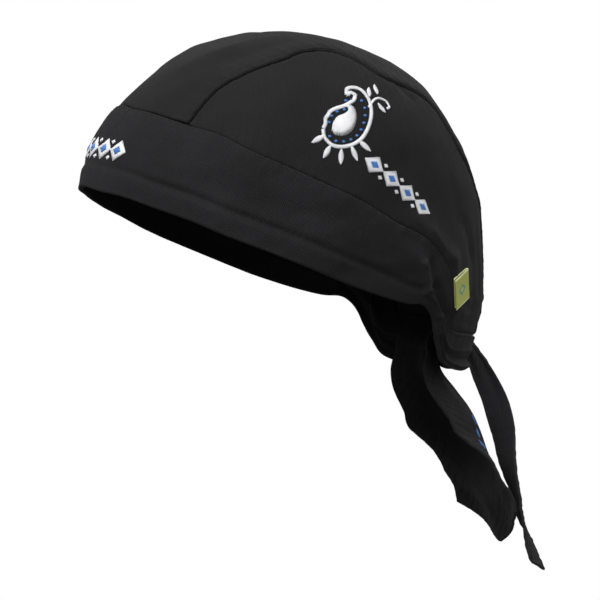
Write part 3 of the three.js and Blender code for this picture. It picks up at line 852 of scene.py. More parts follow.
# Lighter along the edges and the hem line: partly wear, partly a painted highlight.
wear_and_highlight = worn_and_lit(from_edge) + 0.4 * worn_and_lit(np.abs(from_edge - flap_hem))
neck_flap = wall("neck_flap_cloth", flap_outer, flap_inner, np.clip(wear_and_highlight, 0, 1))
stitch_line(flap_outer, flap_stitches, part=(0.05, 0.93))
stitch_line(flap_outer, flap_stitches, from_end=True, part=(0.05, 0.93))
stitch_line(flap_outer, flap_stitches, from_end=True, crosswise=True, part=(0.07, 0.93))
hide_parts("neck_flap")
print("neck flap", round(float(np.ptp(base[..., 2])), 1), "mm high,", len(neck_flap.data.polygons), "faces")

# %% [markdown]
# ## The hanging ties
# A tie is the band's own end: a strip folded in three and stitched along its edges. It leaves the
# knot narrow and pleated, widens, turns slowly as it falls, and ends in a slanted cut. Its path is
# a table of places along its length, so the strip keeps its width while it turns.

# %% Cut and hang the ties
tie_width = 13
tie_cloth = 1.8
tie_length = 117
right_tie_length = 94
tie_stitches = 1.5
tip_start = 0.9  # where the slanted tip begins, as a share of the length
tip_slant = 0.35
left_tie_rows = {
    "share": [0, 0.036, 0.073, 0.163, 0.256, 0.346, 0.433, 0.521, 0.609, 0.697, 0.787, 0.879, 0.969, 1],
    "drop": [-0.04, 0.02, 0.067, 0.156, 0.242, 0.327, 0.413, 0.498, 0.584, 0.669, 0.755, 0.84, 0.926, 0.96],
    "out": [-0.022, 0.012, 0.036, 0.076, 0.111, 0.133, 0.147, 0.16, 0.17, 0.2, 0.216, 0.24, 0.279, 0.298],
    "aside": [0, 0.007, 0.013, 0.026, 0.038, 0.047, 0.056, 0.064, 0.073, 0.081, 0.085, 0.09, 0.09, 0.09],
    "turn": [18, 18, 20, 20, 24, 33, 54, 67, 83, 94, 101, 121, 136, 140],
    "width": [0.36, 0.55, 0.76, 1, 1.06, 1.06, 1.02, 1, 1, 1, 1, 1, 1, 0.95],
}
right_tie_rows = {
    "share": [0, 0.06, 0.133, 0.213, 0.302, 0.42, 0.546, 0.673, 0.798, 0.91, 1],
    "drop": [0, 0.048, 0.106, 0.181, 0.266, 0.372, 0.479, 0.585, 0.691, 0.798, 0.883],
    "out": [0, -0.027, -0.059, -0.076, -0.022, 0.048, 0.118, 0.193, 0.242, 0.297, 0.33],
    "aside": [0, -0.03, -0.062, -0.088, -0.115, -0.136, -0.147, -0.152, -0.152, -0.141, -0.131],
    "turn": [20, 30, 42, 40, 38, 41, 56, 67, 79, 82, 82],
    "width": [0.4, 0.6, 0.85, 1, 1, 1, 1, 1, 1, 1, 0.95],
}


def hang_tie(name, node, rows, start, length, seed):
    along, across = np.meshgrid(crowded(190, 0.3), crowded(40, 0.6) * 2 - 1, indexing="ij")
    turn = np.radians(read(rows, "turn", along))
    half = read(rows, "width", along) * tie_width / 2
    wide = np.stack([np.sin(turn), np.cos(turn), 0 * turn], -1)
    thin = np.stack([np.cos(turn), -np.sin(turn), 0 * turn], -1)
    path = np.stack([read(rows, "aside", along), read(rows, "out", along), -read(rows, "drop", along)], -1)
    slant = tip_slant * np.maximum(along - tip_start, 0) / (1 - tip_start)
    base = start + path * length + wide * (across * half)[..., None]
    base[..., 2] += slant * across * half
    cup = 0.5 * (across**2 - 0.4) * smooth(along, 0, 0.2)
    pleat = 0.9 * (1 - smooth(along, 0.02, 0.3)) * np.cos(across * 5.2 + along * 8)
    base = base + thin * (cup + pleat + 0.35 * waves(path * length, 22, seed))[..., None]
    normal = grid_normals(base)
    first, second, begin, end = edge_distance(base)
    from_edge = np.minimum.reduce([first, second, end])
    nearest = np.minimum(from_edge, begin)
    half_cloth = rounded(nearest, tie_cloth / 2)
    fold = 0.16 * ridge(across, 0.18, 0.05) * smooth(along, 0.15, 0.1)
    sunk = 0.16 * ridge(from_edge, tie_stitches, 0.4)
    ripple = puckers(begin, from_edge, 0.12)
    outer = base + normal * (half_cloth - (fold + sunk) * smooth(nearest, 0.6, 1) + ripple)[..., None]
    inner = base - normal * (half_cloth - sunk * smooth(nearest, 0.6, 1) - ripple)[..., None]
    # Lighter along the edges and the inner fold: partly wear, partly a painted highlight.
    piece = wall(name, outer, inner, np.clip(worn_and_lit(from_edge) + 0.3 * ridge(across, 0.18, 0.1), 0, 1))
    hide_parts(node)
    stitch_line(outer, tie_stitches, part=(0.12, 0.97))
    stitch_line(outer, tie_stitches, from_end=True, part=(0.12, 0.97))
    print(name, "lowest", round(float(base[..., 2].min()), 1), "mm")
    return piece, flat_size(first[:, -1], begin[-1])


left_start = knot_place + np.array([0.1 * knot_width, knot_depth / 2 + tie_cloth, 0.21 * knot_height])
right_start = knot_place + np.array([-knot_width / 2 - tie_cloth, -knot_depth / 6, 0])
tie_left, left_flat = hang_tie("tie_left_cloth", "tie_left", left_tie_rows, left_start, tie_length, 21)
tie_right, right_flat = hang_tie(
    "tie_right_cloth", "tie_right", right_tie_rows, right_start, right_tie_length, 22,
)

# %% [markdown]
# ## The knot
# The two ends of the band are wound once round each other and pulled tight. Two gathered lobes come
# in from the sides, and one turn of pleated cloth goes over them. Drawing the turn as a strip whose
# end tucks under its start is simpler than a true knot, and it looks the same from every side.


# %% Wind the turn and gather the lobes
turn_cloth = 1.4


def tube(name, rings):
    """A closed tube through rings of points, with its ends drawn together."""
    count, sides = rings.shape[:2]
    ids, around, quads = tube_faces(count, sides)
    points = rings.reshape(-1, 3)
    tips = np.array([rings[0].mean(0), rings[-1].mean(0)])
    first = np.stack([around[0], ids[0], np.full(sides, count * sides)], -1)
    last = np.stack([ids[-1], around[-1], np.full(sides, count * sides + 1)], -1)
    faces = quads.tolist() + first.tolist() + last.tolist()
    uv = np.stack([lengths(rings, 1), lengths(rings, 0)], -1).reshape(-1, 2)
    uv = np.concatenate([uv, np.zeros((2, 2))])
    return add_object(name, np.concatenate([points, tips]), faces, uv)


def lobe(name, side):
    """The gathered end of the band that runs from the band into the turn."""
    t = np.linspace(0, 1, 70)[:, None]
    theta = np.linspace(0, 2 * math.pi, 96, endpoint=False)[None]
    x = side * (15.5 - 13.5 * t) + 0 * theta
    middle_y = knot_place[1] - 1.6 + 1.4 * smooth(t, 0, 0.8)
    middle_z = knot_place[2] + 1.2 - 1.0 * t + side * 0.5 * t
    deep = 3.4 + 2.3 * smooth(t, 0, 0.5) - 0.8 * smooth(t, 0.7, 0.3)
    tall = 4.6 + 2.3 * smooth(t, 0, 0.5) - 1.6 * smooth(t, 0.7, 0.3)
    pleat = 1 + 0.1 * np.cos(5 * theta + side * 2.5 * t) + 0.04 * np.cos(11 * theta - 3 * t + side)
    pleat = pleat * (0.55 + 0.45 * smooth(t, -0.02, 0.12))
    y = middle_y + deep * pleat * np.cos(theta)
    z = middle_z + tall * pleat * np.sin(theta)
    rings = np.stack([x, y, z], -1)
    return tube(name, rings if side < 0 else rings[:, ::-1])


def turn_of_cloth(name):
    """One pleated strip that goes round the lobes, its end tucked under its start."""
    around, across = np.meshgrid(np.linspace(-0.22, 1.12, 200), np.linspace(-1, 1, 54), indexing="ij")
    angle = around * 2 * math.pi - math.pi / 2
    tuck = 1 - 0.16 * smooth(-around, 0.0, 0.2) - 0.16 * smooth(around, 1.0, 0.12)
    half = 4.7 + 0.8 * np.cos(angle)
    crown = 1 - 0.14 * np.abs(across) ** 3
    pleat = 0.05 * np.cos(across * 8.5 + 0.8 * np.sin(angle)) + 0.02 * np.cos(across * 17 + angle)
    square = (np.abs(np.cos(angle)) ** 2.8 + np.abs(np.sin(angle)) ** 2.8) ** (-1 / 2.8)
    radius = tuck * square * (crown + pleat)
    x = across * half + 1.4 * np.sin(angle)
    y = (knot_depth / 2 - 0.2) * radius * np.cos(angle)
    z = (knot_height / 2 - 0.2) * radius * np.sin(angle)
    base = knot_place + np.stack([x, y, z], -1)
    normal = grid_normals(base)
    if (normal * (base - knot_place)).sum() < 0:
        base, normal, across = base[:, ::-1], -normal[:, ::-1], across[:, ::-1]
    nearest = nearest_edge(base)
    outer, inner = faces_of(base, normal, rounded(nearest, turn_cloth / 2))
    return wall(name, outer, inner, worn_and_lit(nearest))


knot_turn = turn_of_cloth("knot_turn")
knot_left = lobe("knot_lobe_left", 1)
knot_right = lobe("knot_lobe_right", -1)
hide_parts("knot")
print("knot pieces", len(knot_turn.data.polygons), len(knot_left.data.polygons))

# %% [markdown]
# ## The folded label
# A short woven tape is folded once and caught in the band seam, so its two layers stay apart at the
# fold. The strip runs out on one layer and back on the other, which keeps the open end visible.

# %% Fold the label
label_height = 15.5
label_reach = 12.5
label_cloth = 0.5
label_gap = 0.7  # air between its two layers
label_pinch = 0.15  # how much closer each layer lies at the seam
label_sag = 1.1  # how far the outer layer hangs down at the seam
label_station = 13.7
label_lift = math.radians(-5)
label_tilt = math.radians(9)
seat = cap_surface(band_top(np.array(label_station)))
above = cap_surface(band_top(np.array(label_station - 0.5)))[0]
below = cap_surface(band_top(np.array(label_station + 0.5)))[0]
label_foot = seat[0] + seat[1] * fold_height(band_top(np.array(label_station)))
label_up = unit(above - below)
label_out = seat[1]
label_back = unit(np.cross(label_up, label_out))
label_way = label_back * math.cos(label_lift) + label_out * math.sin(label_lift)
label_way = unit(label_way * math.cos(label_tilt) + label_up * math.sin(label_tilt))
label_face = unit(np.cross(label_up, label_way))
label_foot = label_foot + label_out * (label_gap / 2 + label_cloth + 2 * seam_gap) + label_way * seam_gap


def fold_label():
    bend = label_gap / 2 + label_cloth / 2
    straight = label_reach - bend - label_cloth / 2
    full = 2 * straight + math.pi * bend
    run, rise = np.meshgrid(crowded(120, 0.2) * full, crowded(90, 0.4) * label_height, indexing="ij")
    angle = np.clip((run - straight) / bend, 0, math.pi)
    past = np.maximum(run - straight - math.pi * bend, 0)
    along = np.minimum(run, straight) + bend * np.sin(angle) - past
    away = -bend * np.cos(angle)
    bow = 0.35 * np.sin(math.pi * rise / label_height)
    bow = bow * np.sin(math.pi * np.clip(along / label_reach, 0, 1))
    away = away + bow - label_pinch * (1 - smooth(along, 0, 5)) * np.sign(away)
    sag = label_sag * np.clip(1 - run / straight, 0, 1)
    base = (label_foot + label_way * along[..., None] + label_face * away[..., None]
            + label_up * (rise - label_height / 2 - sag)[..., None])
    normal = grid_normals(base)
    nearest = nearest_edge(base)
    outer, inner = faces_of(base, normal, rounded(nearest, label_cloth / 2))
    return wall("label_tape", outer, inner, worn_and_lit(nearest), np.stack([rise, run], -1)), full


label, label_full = fold_label()
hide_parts("side_label")
print("label tape", round(label_full, 1), "mm long")

# %% [markdown]
# ## Embroidery
# The ornament is satin stitch: threads laid side by side across a narrow shape. Each shape here is
# a line with a width at every place, and one thread crosses it every half millimetre. The motifs
# are old textile forms, a teardrop with a curled tip, leaves, dots and lozenges.


# %% Lay satin stitches on the cap
def smooth_line(points, count):
    """A smooth line through a few points, with further columns carried along."""
    points = np.array(points, float)
    places = np.linspace(0, 1, len(points))
    rows = {"place": places.tolist()}
    for k in range(points.shape[1]):
        rows[str(k)] = points[:, k].tolist()
    at = np.linspace(0, 1, count)
    return np.stack([read(rows, str(k), at) for k in range(points.shape[1])], -1)


def satin(line, widths, pitch=0.5):
    """Threads across a flat line: middles, directions and lengths."""
    run = lengths(line[None], 1)[0]
    places = np.arange(pitch / 2, run[-1], pitch)
    middle = np.stack([np.interp(places, run, line[:, k]) for k in range(2)], -1)
    ahead = np.stack([np.interp(places + 0.3, run, line[:, k]) for k in range(2)], -1)
    behind = np.stack([np.interp(places - 0.3, run, line[:, k]) for k in range(2)], -1)
    way = unit(ahead - behind + 1e-9)
    crosswise = np.stack([-way[:, 1], way[:, 0]], -1)
    lean = way * 0.12
    long = np.interp(places, run, widths)
    keep = long > 0.3
    return middle[keep], unit(crosswise + lean)[keep], long[keep]


def teardrop(scale=1.0):
    """Middle line and half widths of a teardrop with a curled tip."""
    spine = smooth_line([
        (-15, -5, 0.3), (-13, -5.6, 6.2), (-8, -5.8, 9.3), (-1, -3.8, 9.8), (5.5, 0.8, 7.4),
        (9.6, 6.6, 4.8), (9.6, 12.2, 2.9), (5.2, 14.2, 1.5), (2.6, 11.6, 0.3),
    ], 160)
    middle = np.array([-5, -3.5])
    line = middle + (spine[:, :2] - middle) * scale
    return line, spine[:, 2] * scale


def outline_of(line, half):
    way = unit(np.gradient(line, axis=0))
    crosswise = np.stack([-way[:, 1], way[:, 0]], -1)
    left = line + crosswise * half[:, None]
    right = line - crosswise * half[:, None]
    return np.concatenate([left, right[::-1]])


def ornament_on_side():
    """Flat shapes of the side ornament: lists of threads in white and in blue."""
    white, blue = [], []
    line, half = teardrop()
    edge = outline_of(line, half)
    white.append(satin(edge, np.full(len(edge), 2.1)))
    inner_line, inner_half = teardrop(0.52)
    white.append(satin(inner_line[8:-10], 2 * inner_half[8:-10]))
    bead_line = outline_of(*teardrop(0.78))
    run = lengths(bead_line[None], 1)[0]
    for place in np.arange(3.2, run[-1] - 3, 4.1):
        x, y = (np.interp(place, run, bead_line[:, k]) for k in range(2))
        dot = np.stack([np.linspace(x - 0.75, x + 0.75, 9), np.full(9, y)], -1)
        blue.append(satin(dot, 1.5 * np.sqrt(np.maximum(1 - np.linspace(-1, 1, 9) ** 2, 0.1)), 0.42))
    for angle, reach in ((200, 15), (228, 16), (256, 15.5), (284, 14.5), (312, 14.5)):
        a = math.radians(angle)
        way = np.array([math.cos(a), math.sin(a)])
        foot = np.array([-4.5, -4.5]) + way * (reach - 3.5)
        leaf = foot + way * np.linspace(0, 8, 20)[:, None]
        white.append(satin(leaf, 3.0 * np.sin(math.pi * np.linspace(0.04, 0.98, 20)) ** 0.8))
    stem = smooth_line([(12.5, 4), (17, 8), (21, 9.5), (25.5, 8.2), (26.5, 4.8), (24, 3.6)], 60)
    white.append(satin(stem, np.full(60, 1.3)))
    for x, y, tilt in ((16, 12.5, 70), (21.5, 14.5, 85), (20.5, 4.2, -60)):
        a = math.radians(tilt)
        way = np.array([math.cos(a), math.sin(a)])
        leaf = np.array([x, y]) - way * 2.6 + way * np.linspace(0, 6.0, 16)[:, None]
        white.append(satin(leaf, 2.7 * np.sin(math.pi * np.linspace(0.04, 0.98, 16)) ** 0.8))
    return white, blue


def lozenge(x, y, reach, width):
    way = np.array([1.0, 0.0])
    t = np.linspace(-1, 1, 21)
    return satin(np.array([x, y]) + way * (t * reach)[:, None], 2 * width * (1 - np.abs(t)) + 0.35)


def lozenge_row(count, start, step, large, core, dot, aside):
    """A row of white lozenges with blue cores, and small white ones between them on both sides."""
    middles = [start + n * step for n in range(count)]
    white = [lozenge(x, 0, *large) for x in middles]
    white += [lozenge(x + step / 2, y, *dot) for x in middles[:-1] for y in (-aside, aside)]
    return white, [lozenge(x, 0, *core) for x in middles]


def place_on_cap(shapes, azimuth, polar, tilt, lift):
    """Brings flat shapes onto the cap round one place."""
    centre, up = cap_surface(heading(np.array(float(azimuth)), np.array(float(polar))))
    back = unit(np.cross(np.array([0.0, 0.0, 1.0]), up))
    high = np.cross(up, back)
    a = math.radians(tilt)
    right, top = back * math.cos(a) + high * math.sin(a), high * math.cos(a) - back * math.sin(a)
    middles, ways, long = (np.concatenate(column) for column in zip(*shapes))

    def land(flat):
        target = centre + right * flat[:, :1] + top * flat[:, 1:]
        way = unit((target - np.array([0, 0, form_centre])) / reaches(target))
        points, normals = cap_surface(way)
        return points + normals * (cloth_lift(way, points) + lift)[:, None], normals

    at, normals = land(middles)
    ahead, _ = land(middles + ways * 0.4)
    way = unit(ahead - at)
    return at, way, normals, long


def join_threads(lists):
    return [np.concatenate([group[k] for group in lists]) for k in range(4)]


side_white, side_blue = ornament_on_side()
row_white, row_blue = lozenge_row(4, -14, 12, (6.0, 5.0), (2.6, 2.1), (1.3, 1.1), 3.6)
front_white, front_blue = lozenge_row(5, -26, 13, (6.5, 5.6), (2.9, 2.4), (1.4, 1.2), 4.2)

on_side = (101, 60.5, 4)  # azimuth, polar angle and tilt of each ornament
below_side = (113, 82.5, -36)
on_front = (0, 71.5, 0)
band_face = band_proud + band_swell
white_threads = join_threads([
    place_on_cap(side_white, *on_side, 0.1),
    place_on_cap(row_white, *below_side, 0.1),
    place_on_cap(front_white, *on_front, band_face + 0.15),
])
blue_threads = join_threads([
    place_on_cap(side_blue, *on_side, 0.12),
    place_on_cap(row_blue, *below_side, 0.5),
    place_on_cap(front_blue, *on_front, band_face + 0.6),
])
flap_marks = (
    # share along and across the flap, half length in mm
    (0.49, 0.74, 2.8),
    (0.56, 0.79, 2.8),
    (0.62, 0.86, 2.8),
)


def marks_on_flap(places):
    """Small lozenges stitched to the outer face of the flap, by share along and across."""
    groups = []
    for along_share, across_share, reach in places:
        j = int(np.searchsorted(flap_along[:, 0], along_share))
        i = int(np.searchsorted(flap_across[0], across_share))
        at = flap_outer[j, i]
        up = flap_normals[j, i]
        down = unit(flap_outer[j + 3, i] - flap_outer[j - 3, i])
        aside = np.cross(up, down)
        flat, ways, long = lozenge(0, 0, reach, reach * 0.8)
        middle = at + down * flat[:, :1] + aside * flat[:, 1:] + up * 0.1
        way = down * ways[:, :1] + aside * ways[:, 1:]
        groups.append((middle, way, np.repeat(up[None], len(flat), 0), long))
    return groups


blue_threads = join_threads([blue_threads] + marks_on_flap(flap_marks))
white_work = threads("embroidery_white", *white_threads, thick=0.62)
blue_work = threads("embroidery_blue", *blue_threads, thick=0.55)
seam_stitches = threads("seam_stitches", *join_threads(seam_rows), thick=0.36, sink=0.55)
print(len(white_threads[0]), "white and", len(blue_threads[0]), "blue threads;", len(seam_rows), "seams")

# %% [markdown]


# %% [markdown]
# ## Materials: a weave that several cloths share
# All black pieces are one cotton twill, whose ribs lean across the cloth. The weave is a node group,
# so each material can set its own count and direction. It is built from sines of the flat size in
# metres, because an image would blur close up and a noise would not look woven.


# %% Node helpers
def add_node(tree, kind, place, **settings):
    node = tree.nodes.new(kind)
    node.location = place
    for key, value in settings.items():
        setattr(node, key, value)
    return node


def feed(tree, target, source):
    """Sets a socket to a value or links another socket to it."""
    if isinstance(source, bpy.types.NodeSocket):
        tree.links.new(source, target)
    else:
        target.default_value = source


def fill(tree, node, **values):
    """Feeds a node's inputs by name, with underscores for spaces."""
    for key, value in values.items():
        feed(tree, node.inputs[key.replace("_", " ")], value)
    return node


def maths(tree, operation, a, b=0.0, place=(0, 0), c=0.5):
    """One sum; c is what a MULTIPLY_ADD adds."""
    node = add_node(tree, "ShaderNodeMath", place, operation=operation)
    for socket, source in zip(node.inputs, (a, b, c)):
        feed(tree, socket, source)
    return node.outputs[0]


def noise(tree, place, **values):
    return fill(tree, add_node(tree, "ShaderNodeTexNoise", place), **values).outputs[0]


def ramp(tree, place, value, **limits):
    return fill(tree, add_node(tree, "ShaderNodeMapRange", place), Value=value, **limits).outputs[0]


def bump(tree, place, height, strength, distance):
    node = add_node(tree, "ShaderNodeBump", place)
    return fill(tree, node, Height=height, Strength=strength, Distance=distance).outputs[0]


def mix_shaders(tree, place, share, first, second):
    node = add_node(tree, "ShaderNodeMixShader", place)
    for socket, source in zip(node.inputs, (share, first, second)):
        feed(tree, socket, source)
    return node.outputs[0]


def mix_colour(tree, share, a, b, place=(0, 0), blend="MIX"):
    node = add_node(tree, "ShaderNodeMix", place, data_type="RGBA", blend_type=blend)
    feed(tree, node.inputs["Factor"], share)
    feed(tree, node.inputs[6], a)
    feed(tree, node.inputs[7], b)
    return node.outputs[2]


def new_group(name, inputs, outputs):
    group = bpy.data.node_groups.new(name, "ShaderNodeTree")
    for label_text, kind, value in inputs:
        socket = group.interface.new_socket(label_text, in_out="INPUT", socket_type=kind)
        socket.default_value = value
    for label_text, kind in outputs:
        group.interface.new_socket(label_text, in_out="OUTPUT", socket_type=kind)
    source = add_node(group, "NodeGroupInput", (-1400, 0))
    result = add_node(group, "NodeGroupOutput", (900, 0))
    return group, source, result


def use_group(tree, group, place, **values):
    return fill(tree, add_node(tree, "ShaderNodeGroup", place, node_tree=group), **values)


def new_material(name):
    material = bpy.data.materials.new(name)
    material.use_nodes = True
    tree = material.node_tree
    return material, tree, tree.nodes["Principled BSDF"]


print("node helpers ready")


# %% Build the twill weave group
def build_twill():
    group, source, result = new_group(
        "twill weave",
        [("Ribs per metre", "NodeSocketFloat", 1100.0), ("Lean", "NodeSocketFloat", 0.35)],
        [("Height", "NodeSocketFloat"), ("Rib", "NodeSocketFloat")],
    )
    uv = add_node(group, "ShaderNodeUVMap", (-1400, 300), uv_map="cloth")
    split = add_node(group, "ShaderNodeSeparateXYZ", (-1200, 300))
    feed(group, split.inputs[0], uv.outputs[0])
    waver = noise(group, (-1200, 0), Scale=260.0, Detail=3.0)
    count = source.outputs["Ribs per metre"]
    leaning = maths(group, "MULTIPLY", split.outputs[1], source.outputs["Lean"], (-1000, 200))
    slanted = maths(group, "ADD", split.outputs[0], leaning, (-850, 200))
    ribs = maths(group, "MULTIPLY", slanted, count, (-700, 200))
    wobble = maths(group, "MULTIPLY", waver, 0.8, (-700, 0))
    wavering = maths(group, "ADD", ribs, wobble, (-550, 150))
    rib_turn = maths(group, "MULTIPLY", wavering, 2 * math.pi, (-400, 150))
    rib = maths(group, "MULTIPLY_ADD", maths(group, "SINE", rib_turn, 0, (-250, 150)), 0.5, (-100, 150))
    yarns = maths(group, "MULTIPLY", split.outputs[1], count, (-700, -200))
    yarn_turn = maths(group, "MULTIPLY", yarns, 2 * math.pi * 1.55, (-550, -200))
    yarn = maths(group, "MULTIPLY_ADD", maths(group, "SINE", yarn_turn, 0, (-400, -200)), 0.5, (-250, -200))
    shallow = maths(group, "MULTIPLY_ADD", yarn, 0.4, (-50, -100), 0.6)
    woven = maths(group, "MULTIPLY", rib, shallow, (150, 50))
    feed(group, result.inputs["Height"], woven)
    feed(group, result.inputs["Rib"], rib)
    return group


twill = build_twill()
print("group", twill.name, "with", len(twill.nodes), "nodes")

# %% [markdown]
# ## Materials: what use and painted light do to black cotton
# Black cloth is never one black. It fades in soft patches, goes grey where edges rub, and holds
# a little lint. This second group turns a base colour into that, and gives masks that also change
# the roughness. It also paints shade into the grooves between the twill ribs, and the grey along
# edges and hems is partly real wear and partly a painted highlight.


# %% Build the used cloth group
def build_used_cloth_and_light():
    group, source, result = new_group(
        "used cloth and painted light",
        [
            ("Base", "NodeSocketColor", (0.013, 0.013, 0.014, 1)),
            ("Rib", "NodeSocketFloat", 0.5),
            ("Fade", "NodeSocketFloat", 0.5),
            ("Wear", "NodeSocketFloat", 0.5),
            ("Lint", "NodeSocketFloat", 0.5),
        ],
        [("Colour", "NodeSocketColor"), ("Roughness", "NodeSocketFloat"), ("Fuzz", "NodeSocketFloat")],
    )
    place = add_node(group, "ShaderNodeTexCoord", (-1400, 500)).outputs["Object"]
    patches = noise(group, (-1150, 500), Vector=place, Scale=22.0, Detail=5.0)
    fine = noise(group, (-1150, 200), Vector=place, Scale=900.0, Detail=4.0)
    specks = noise(group, (-1150, -100), Vector=place, Scale=420.0, Detail=1.0)
    base = source.outputs["Base"]
    patch = ramp(group, (-900, 500), patches, From_Min=0.35, From_Max=0.7)
    faded = mix_colour(group, 1.0, base, (1.55, 1.55, 1.6, 1), (-650, 500), "MULTIPLY")
    fade_share = maths(group, "MULTIPLY", patch, source.outputs["Fade"], (-700, 350))
    colour = mix_colour(group, fade_share, base, faded, (-450, 400))
    grain_share = maths(group, "MULTIPLY", fine, 0.5, (-700, 150))
    darker = mix_colour(group, 1.0, colour, (0.55, 0.55, 0.56, 1), (-450, 150), "MULTIPLY")
    colour = mix_colour(group, grain_share, colour, darker, (-250, 250))
    # Painted shade: the colour darkens in the grooves between the twill ribs.
    between_ribs = maths(group, "SUBTRACT", 1.0, source.outputs["Rib"], (-450, -50))
    groove_shade_share = maths(group, "MULTIPLY", between_ribs, 0.7, (-300, -50))
    painted_groove_shade = mix_colour(group, 1.0, colour, (0.45, 0.45, 0.46, 1), (-250, 50), "MULTIPLY")
    colour = mix_colour(group, groove_shade_share, colour, painted_groove_shade, (-50, 150))
    # The masked edges go grey: partly wear, partly a painted highlight along edges and hems.
    rubbed_and_lit = maths(group, "MULTIPLY", source.outputs["Wear"], fine, (-250, -250))
    rubbed_lit_colour = mix_colour(group, 1.0, colour, (0.014, 0.014, 0.015, 1), (50, -50), "ADD")
    colour = mix_colour(group, rubbed_and_lit, colour, rubbed_lit_colour, (200, 50))
    lint = ramp(group, (-900, -100), specks, From_Min=0.76, From_Max=0.84)
    lint_share = maths(group, "MULTIPLY", lint, source.outputs["Lint"], (50, -250))
    colour = mix_colour(group, lint_share, colour, (0.05, 0.05, 0.052, 1), (400, 50))
    rough = maths(group, "MULTIPLY_ADD", patch, -0.08, (200, -300), 0.9)
    feed(group, result.inputs["Colour"], colour)
    feed(group, result.inputs["Roughness"], rough)
    feed(group, result.inputs["Fuzz"], fine)
    return group


used_cloth_and_light = build_used_cloth_and_light()
print("group", used_cloth_and_light.name, "with", len(used_cloth_and_light.nodes), "nodes")


# %% [markdown]
# ## The black cottons
# The crown, the band and the thin cloth of the flap share both groups and differ in colour, count
# and depth of weave. The sheen of raised fibres is set on the shader itself, where it is the same
# all over.


# %% Dye the black cottons
cotton_sheen = 0.06
edge_wear_and_highlight = 0.6
lint = 0.2


def black_cotton(name, base, ribs, lean, depth, fade=0.5):
    material, tree, shader = new_material(name)
    weave = use_group(tree, twill, (-900, -200), Ribs_per_metre=ribs, Lean=lean)
    # The edge mask paints grey wear and a highlight along edges and hems.
    rubbed_and_lit = add_node(tree, "ShaderNodeAttribute", (-900, 0), attribute_name="wear_and_highlight")
    rub_and_highlight_share = maths(tree, "MULTIPLY", rubbed_and_lit.outputs["Fac"], edge_wear_and_highlight, (-750, 50))
    cloth_look = use_group(
        tree, used_cloth_and_light, (-550, 150),
        Base=base, Rib=weave.outputs["Rib"], Fade=fade, Wear=rub_and_highlight_share, Lint=lint,
    )
    fuzz = cloth_look.outputs["Fuzz"]
    height = maths(tree, "MULTIPLY_ADD", fuzz, 0.5, (-350, -200), weave.outputs["Height"])
    fill(
        tree, shader,
        Base_Color=cloth_look.outputs["Colour"],
        Roughness=cloth_look.outputs["Roughness"],
        Normal=bump(tree, (-200, -200), height, 0.75, depth),
        Specular_IOR_Level=0.2,
        Sheen_Weight=cotton_sheen,
        Sheen_Roughness=0.45,
        Sheen_Tint=(0.5, 0.5, 0.54, 1),
    )
    return material


crown_cotton = black_cotton("crown cotton", (0.0105, 0.0105, 0.0110, 1), 950.0, 0.2, 0.00022)
band_cotton = black_cotton("band cotton", (0.0104, 0.0105, 0.0114, 1), 950.0, 0.2, 0.00024)
flap_cotton = black_cotton("flap cotton", (0.0082, 0.0082, 0.0088, 1), 1650.0, 0.2, 0.00016)
# The ties and the knot's turn get a lighter copy of the same black cotton: painted light, as they face the
# lamps.
tie_cotton_painted_lighter = black_cotton("tie cotton painted lighter", (0.024, 0.024, 0.0257, 1), 1350.0, 0.2, 0.00022)
tape_cotton = black_cotton("tape cotton", (0.007, 0.007, 0.0075, 1), 1500.0, 0.0, 0.00015, fade=0.3)
for piece, material in (
    (centre_panel, crown_cotton), (side_left, crown_cotton), (side_right, crown_cotton),
    (brow_band, band_cotton), (neck_flap, flap_cotton), (tie_left, tie_cotton_painted_lighter), (tie_right, tie_cotton_painted_lighter),
    (knot_turn, tie_cotton_painted_lighter), (knot_left, band_cotton), (knot_right, band_cotton),
    *((strip, tape_cotton) for strip in tapes),
):
    piece.data.materials.append(material)
print("black cottons on ten pieces and", len(tapes), "tapes")


# %% [markdown]
# ## Threads and the label
# Embroidery thread is glossy rayon, so it is smoother than cotton and shines along its length. The
# label is a stiff woven tape: yellow-green, with a lighter border and a small woven diamond.


# %% Spin the threads
def thread(name, colour, rough, sheen):
    material, tree, shader = new_material(name)
    place = add_node(tree, "ShaderNodeTexCoord", (-1000, 0)).outputs["Object"]
    fibres = noise(tree, (-800, 0), Vector=place, Scale=2400.0, Detail=3.0)
    tone = noise(tree, (-800, -300), Vector=place, Scale=180.0)
    shade = tuple(c * 0.62 for c in colour[:3]) + (1,)
    fill(
        tree, shader,
        Base_Color=mix_colour(tree, tone, colour, shade, (-500, 100)),
        Normal=bump(tree, (-300, -200), fibres, 0.5, 0.0001),
        Roughness=rough,
        Sheen_Weight=sheen,
    )
    return material


white_work.data.materials.append(thread("white thread", (0.78, 0.78, 0.8, 1), 0.45, 0.2))
blue_work.data.materials.append(thread("blue thread", (0.03, 0.17, 0.5, 1), 0.45, 0.2))
seam_stitches.data.materials.append(thread("black thread", (0.004, 0.004, 0.0044, 1), 0.85, 0.0))
print("three threads")


# %% Weave the label
yellow_green = (0.46, 0.5, 0.1, 1)
label_border = 0.7
diamond_reach = 3.1
diamond_core = 1.5


